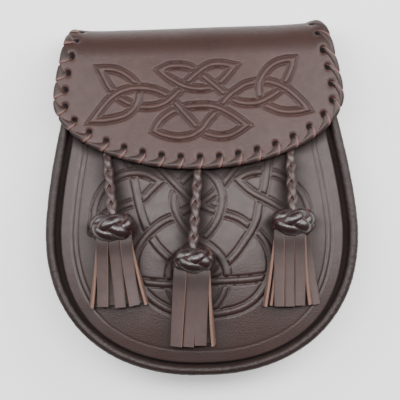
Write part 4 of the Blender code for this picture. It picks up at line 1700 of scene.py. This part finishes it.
@dataclass
class Tassel:
    """One tassel: a round braid of four laces, a woven knot and the fringe that it holds.

    The braid lies free from hang below the flap's edge, and its head is tucked that far under it.
    """

    plan: TasselPlan
    finishes: Finishes
    pouch: PouchForm
    flap: FlapForm
    gap: float = 0.0003
    flattened: float = 0.76
    braid_radius: float = 0.0025
    neck_radius: float = 0.0010
    core_radius: float = 0.00130
    strand_wide: float = 0.0037
    strand_thick: float = 0.0010
    strand_orbit: float = 0.00175
    weave: float = 0.00040
    knot_weave: float = 0.00085
    period: float = 0.0206
    lace_wide: float = 0.0070
    lace_thick: float = 0.0015
    strip_thick: float = 0.0018
    layer_step: float = 0.0019
    hang: float = 0.0055
    tucked: float = 0.0010

    @property
    def middle(self) -> Array:
        """The knot's middle: it lies on the front panel."""
        x, y = self.plan.knot
        depth = self.flattened * self.plan.wide
        face = self.pouch.panel_face(x, y)
        return np.array([x, y, face + 2 * self.gap + depth / 2])

    def build(self) -> None:
        knot, fringe = self.knot(), self.fringe()
        braid, route = self.braid()
        tuple(route[0])
        [tuple(point) for point in route]

    def dress(self, shell: Shell, part: str, finish: bpy.types.Material,
              slot: str) -> bpy.types.Object:
        """Builds a piece that stands for this tassel's node of that part."""
        node = f"{part}_{self.plan.name}"
        return shell.dress(node + "_leather", node, slot, [finish])

    def route(self) -> Array:
        """The braid's route, from under the flap's edge down the panel to the knot's top, as the model
        has it, with a smooth line through its points."""
        x, edge_y = self.plan.braid
        first_y = edge_y - self.hang
        under = self.flap.surface(np.array(x), np.array(edge_y - self.flap.corner_y))[2]
        start = np.array([x, edge_y + self.tucked,
                          under - self.flap.wall - 2 * self.gap - 1.2 * self.neck_radius])
        face = self.pouch.panel_face(x, first_y)
        first = np.array([x, first_y, face + self.gap + 1.1 * self.braid_radius])
        end = self.middle + (0, self.plan.tall / 2 + 2 * self.gap, 0)
        share = np.linspace(0, 1, 16)[:, None]
        line = first + (end - first) * share
        line[:, 2] = first[2] + (end[2] - first[2]) * smoothstep(0, 1, share[:, 0])
        return smooth_line(np.vstack([start, line]), 0.0004)

    def braid(self) -> tuple[bpy.types.Object, Array]:
        """Four flat strands round the route, two each way.

        With φ = 2π·s / period, a right-handed strand is at the angle φ + kπ and the radius
        orbit + weave·cos 2φ, a left-handed one at -φ + kπ and orbit - weave·cos 2φ.
        """
        route = self.route()
        down = route[-1] + (route[-1] - route[-2]) * np.linspace(0.5, 8, 8)[:, None]
        line = np.vstack([route, down])
        along = lengths(line)
        run = unit(np.gradient(line, axis=0))
        across = unit(np.cross(run, (0.0, 0.0, 1.0)))
        up = np.cross(across, run)
        neck = 0.62 + 0.38 * smoothstep(0, 0.006, along)
        phase = 2 * math.pi * (along - lengths(route)[-1]) / self.period
        shell = Shell()
        # a core painted in shade, which shows dark between the strands
        core = self.core_radius * neck
        carried_strip(shell, line, up, 2 * core, 2 * core, sides=12, square=2.0, pit=0.8,
                      bare_from=0.98)
        for hand in (1, -1):
            # painted shade where a strand passes under the others
            under = 0.5 - 0.5 * hand * np.cos(2 * phase)
            for turn in (0, math.pi):
                angle = math.pi / 2 + hand * phase + turn
                radius = (self.strand_orbit + hand * self.weave * np.cos(2 * phase)) * neck
                ray = across * np.cos(angle)[:, None] + up * np.sin(angle)[:, None]
                carried_strip(shell, line + ray * radius[:, None], ray, self.strand_wide * neck,
                              self.strand_thick, sides=16, crown=0.00060, square=2.6,
                              bare_from=0.95, pit=0.75 * under)
        piece = self.dress(shell, "braid", self.finishes.plait, "lace_leather")
        return piece, route

    def knot(self) -> bpy.types.Object:
        """The woven knot: one closed lace that goes three times round while it crosses the barrel
        five times up and down, over and under by a wave of sin(10t), on a filled core.

        At the parameter t the angle is 3t and the place along the barrel cos(5t).
        """
        plan, middle, rounds, bights = self.plan, self.middle, 3, 5
        t = np.linspace(0, 2 * math.pi, 720, endpoint=False)
        angle = rounds * t + plan.knot_turn
        along = np.cos(bights * t)
        over = np.sin(2 * bights * t)
        half = plan.tall / 2 - self.lace_wide * 0.36
        bulge = (plan.wide / 2 - self.lace_thick) * (1 - 0.20 * np.abs(along) ** 2.2)
        lift = self.knot_weave * over
        ray = np.stack([np.cos(angle), 0 * t, self.flattened * np.sin(angle)], axis=-1)
        out = unit(np.stack([np.cos(angle) * self.flattened, 0.55 * along,
                             np.sin(angle)], axis=-1))
        path = middle + ray * bulge[:, None] + out * lift[:, None]
        path[:, 1] = middle[1] + half * along
        shell = Shell()
        # painted shade where the lace passes under
        carried_strip(shell, path, out, self.lace_wide, self.lace_thick, sides=18, crown=0.0012,
                      square=2.6, closed=True, bare_from=0.94,
                      pit=0.6 * smoothstep(0.1, 0.9, -over))
        self.core(shell)
        return self.dress(shell, "knot", self.finishes.knot, "knot_leather")

    def core(self, shell: Shell) -> None:
        """Adds the filled barrel inside the knot, its radius from a superellipse along y."""
        share = np.linspace(-1, 1, 25)[:, None]
        radius = (self.plan.wide / 2 - 1.6 * self.lace_thick) * (1 - np.abs(share) ** 3) ** (1 / 3)
        # painted wholly in shade, so that the weave's gaps show dark
        shell.tube(self.barrel(np.maximum(radius, 0.0002), share * self.plan.tall * 0.46,
                               sides=48, handed=-1), ends={"pit": 1.0}, pit=1.0)

    def barrel(self, radius: Array, rise: Array, *, sides: int, handed: int) -> Array:
        """Returns rings round the knot's middle, x = r·cos a and z = ±r·sin a·flattened.

        Args:
            radius: the radius of each ring, as a column.
            rise: how far up y each ring lies, as a column.
            sides: points of each ring.
            handed: the sign of z.
        """
        angle = np.linspace(0, 2 * math.pi, sides, endpoint=False)
        return self.middle + np.stack([radius * np.cos(angle), rise + 0 * angle,
                                       handed * self.flattened * radius * np.sin(angle)], -1)

    def fringe(self) -> bpy.types.Object:
        """The fringe: cut strips in layers that come out of the knot, bend and lie down to the
        panel, each carried along a smooth line, on a short plug."""
        plan, middle = self.plan, self.middle
        inside_knot = 0.0030
        top_y = middle[1] - plan.tall / 2 + inside_knot
        reach = np.array([0.0, 0.10, 0.30, 0.62, 1.0])
        sink = np.array([0.0, 0.06, 0.38, 0.74, 1.0])
        bow = np.array([0.0040, 0.0050, 0.0034, 0.0014, 0.0004])
        shell = Shell()
        for number, strip in enumerate(plan.strips):
            sway = 0.0004 * math.sin(2.3 * number + len(plan.name))
            x = plan.knot[0] + strip.top + (strip.tip - strip.top) * reach ** 1.15
            x = x + sway * np.sin(math.pi * reach)
            y = top_y + (plan.skirt_end + strip.short - top_y) * reach
            rest = self.pouch.panel_face(x, y) + self.strip_thick / 2
            stack = max(2.6 - strip.layer, 0.1) * self.layer_step
            lift = np.maximum(middle[2] - strip.layer * self.layer_step - rest, stack)
            z = rest + stack * sink + lift * (1 - sink) + bow * (1 - 0.25 * strip.layer)
            path = smooth_line(np.stack([x, y, z], axis=-1), 0.0007)
            down = np.linspace(0, 1, len(path))
            turned = strip.showing is not Showing.FACE
            fan = 0.0 if turned else 0.4 * (strip.top + strip.tip) / plan.wide
            lean = math.radians(strip.showing.value) + fan
            lean = lean * (0.8 + 0.2 * smoothstep(0.1, 0.8, down))
            up = np.stack([np.sin(lean), 0 * lean, np.cos(lean)], axis=-1)
            # painted shade on the strips' tops, just below the knot
            carried_strip(shell, path, up, strip.wide * (1.06 - 0.10 * down), self.strip_thick,
                          sides=20, square=5.0, crown=0.00012, flesh=0.7,
                          bare_from=0.80 if turned else 0.96,
                          pit=0.60 * (1 - smoothstep(0.10, 0.60, down)))
        self.plug(shell)
        return self.dress(shell, "fringe", self.finishes.fringe, "fringe_leather")

    def plug(self, shell: Shell) -> None:
        """Adds the plug of rolled strips in the knot's mouth: a flattened barrel 8 mm long."""
        share = np.linspace(0, 1, 9)[:, None]
        rings = self.barrel(self.plan.wide / 2 * (0.56 - 0.08 * share),
                            0.002 - self.plan.tall / 2 - 0.008 * share, sides=40, handed=1)
        # painted almost wholly in shade
        shell.tube(rings - (0, 0, 0.0030), ends={"pit": 0.9}, pit=0.9)


# ---- back

@dataclass
class StrapLoop:
    """A strap of leather behind the pouch, sewn on at its two ends."""

    side: int
    name: str
    finishes: Finishes
    pouch: PouchForm
    x: float = 0.045
    wide: float = 0.022
    low_y: float = -0.036
    high_y: float = 0.056
    tab: float = 0.009
    bend: float = 0.005
    thick: float = 0.0020
    gap: float = 0.0003
    stitch_rows: tuple[float, float] = (0.0025, 0.0065)
    stitch_span: float = 0.0160
    crease_inset: float = 0.0020

    def build(self) -> None:
        """Makes the strap: z is its seat at the tabs and falls to the floor between them by a
        smooth step; its lower face is its finished one."""
        seat = self.pouch.back_seam - self.pouch.wall / 2 - self.gap - self.thick
        faces_across, faces_along = 30, 180
        across = np.linspace(1, -1, faces_across + 1)[None, :]
        y = np.linspace(self.low_y, self.high_y, faces_along + 1)[:, None]
        from_end = np.minimum(y - self.low_y, self.high_y - y)
        z = seat * (1 - smoothstep(0, 1, (from_end - self.tab) / self.bend)) + 0 * across
        half = self.wide / 2
        edge = half - np.abs(across) * half
        crease = 0.00025 * hill(edge - self.crease_inset, 0.0004) + 0.0004 * hill(edge, 0.0005)
        x = self.side * self.x + across * half + 0 * y
        outer = np.dstack([x, y + 0 * across, z + crease])
        behind = np.dstack([x, y + 0 * across, z + self.thick])
        shell = Shell()
        # the crease line darker, partly as the creaser's own mark and partly as painted shade
        hollow_dye_and_shade = hill(edge - self.crease_inset, 0.0005) + 0 * y
        raise_wall(shell, outer, behind, {}, {"hollow_dye_and_shade": hollow_dye_and_shade}, rim_cloth=0)
        for tab_y in (*(self.low_y + row for row in self.stitch_rows),
                      *(self.high_y - row for row in self.stitch_rows)):
            self.stitches(shell, tab_y, seat)
        shell.dress(self.name + "_leather", self.name, "panel_leather", [self.finishes.panel])

    def stitches(self, shell: Shell, y: float, seat: float) -> None:
        """Adds a row of stitches across a tab, each a short bowed strip of thread.

        Args:
            shell: where they go.
            y: place of the row.
            seat: height of the tab's face.
        """
        share = np.linspace(-1, 1, 7)
        for place in np.linspace(-self.stitch_span / 2, self.stitch_span / 2, 6):
            x = self.side * self.x + place + 0.0012 * share
            bow = 0.00035 * np.cos(share * math.pi / 2)
            path = np.stack([x, 0 * share + y, seat + 0.0002 - bow], axis=-1)
            up = np.broadcast_to((0.0, 0.0, -1.0), path.shape)
            carried_strip(shell, path, up, 0.0007, 0.0005, sides=8, square=2.0)


# ---- studio

@dataclass
class Studio:
    """Pale floor, three soft boxes of light, and a camera straight above."""

    distance: float = 1.5
    focus_z: float = 0.040
    view_wide: float = 0.2293
    centre: tuple[float, float] = (-0.00059, -0.00056)
    roll: float = math.radians(1.45)

    def build(self) -> None:
        """Makes the floor, the lights, the world and the camera."""
        self.floor()
        self.camera()
        self.lights()

    def floor(self) -> None:
        """A flat square floor at height 0."""
        size = 3.0
        shell = Shell()
        across = np.linspace(-size, size, 3)
        grid = np.dstack([*np.meshgrid(across, across), np.zeros((3, 3))])
        shell.skin(shell.add(grid))
        paper = PlainFinish("pale floor", dye(243, 243, 243), dye(250, 250, 250))
        shell.build("floor", [paper.material()])

    def camera(self) -> None:
        """The camera, turned a little about its own axis."""
        data = bpy.data.cameras.new("camera")
        data.lens = data.sensor_width * self.distance / self.view_wide
        data.clip_end = 20.0
        camera = bpy.data.objects.new("camera", data)
        camera.location = (*self.centre, self.focus_z + self.distance)
        camera.rotation_euler = (0, 0, -self.roll)
        bpy.context.scene.collection.objects.link(camera)
        bpy.context.scene.camera = camera

    def lights(self) -> None:
        """Two square soft boxes at the sides and towards the top, a wide narrow one above, and a
        dim even world."""
        self.area("left box", (-0.80, 0.42, 0.80), (0.8, 0.8), 11.5)
        self.area("right box", (0.80, 0.42, 0.80), (0.8, 0.8), 15.0)
        self.area("front box", (0.0, 0.30, 1.65), (1.5, 0.34), 31.0)
        world = bpy.data.worlds.new("studio air")
        world.use_nodes = True
        air = world.node_tree.nodes["Background"]
        air.inputs["Color"].default_value = (1.0, 1.0, 1.0, 1.0)
        air.inputs["Strength"].default_value = 0.09
        bpy.context.scene.world = world

    @staticmethod
    def area(name: str, place: tuple[float, float, float], size: tuple[float, float],
             power: float) -> None:
        """Adds a soft box that looks at the pouch.

        Args:
            name: of the light.
            place: its middle.
            size: its width and height.
            power: in watts.
        """
        data = bpy.data.lights.new(name, "AREA")
        data.shape = "RECTANGLE"
        data.size, data.size_y = size
        data.energy = power
        light = bpy.data.objects.new(name, data)
        light.location = place
        aim = Vector((0, 0, 0.02)) - Vector(place)
        light.rotation_euler = aim.to_track_quat("-Z", "Y").to_euler()
        bpy.context.scene.collection.objects.link(light)


def main() -> None:
    """Builds the sub-assemblies in order."""
    logging.basicConfig(level=logging.INFO, format="%(message)s")
    Studio().build()
    finishes = Finishes()
    pouch = Pouch(finishes)
    flap = LacedFlap(finishes)
    for plan in TASSELS:
        Tassel(plan, finishes, pouch.form, flap.form).build()
    pouch.build()
    flap.build()
    for side, name in ((-1, "strap_loop_left"), (1, "strap_loop_right")):
        StrapLoop(side, name, finishes, pouch.form).build()
    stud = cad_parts["press_stud"]
    stud.data.materials.clear()
    stud.data.materials.append(finishes.steel)


if __name__ == "__main__":
    main()
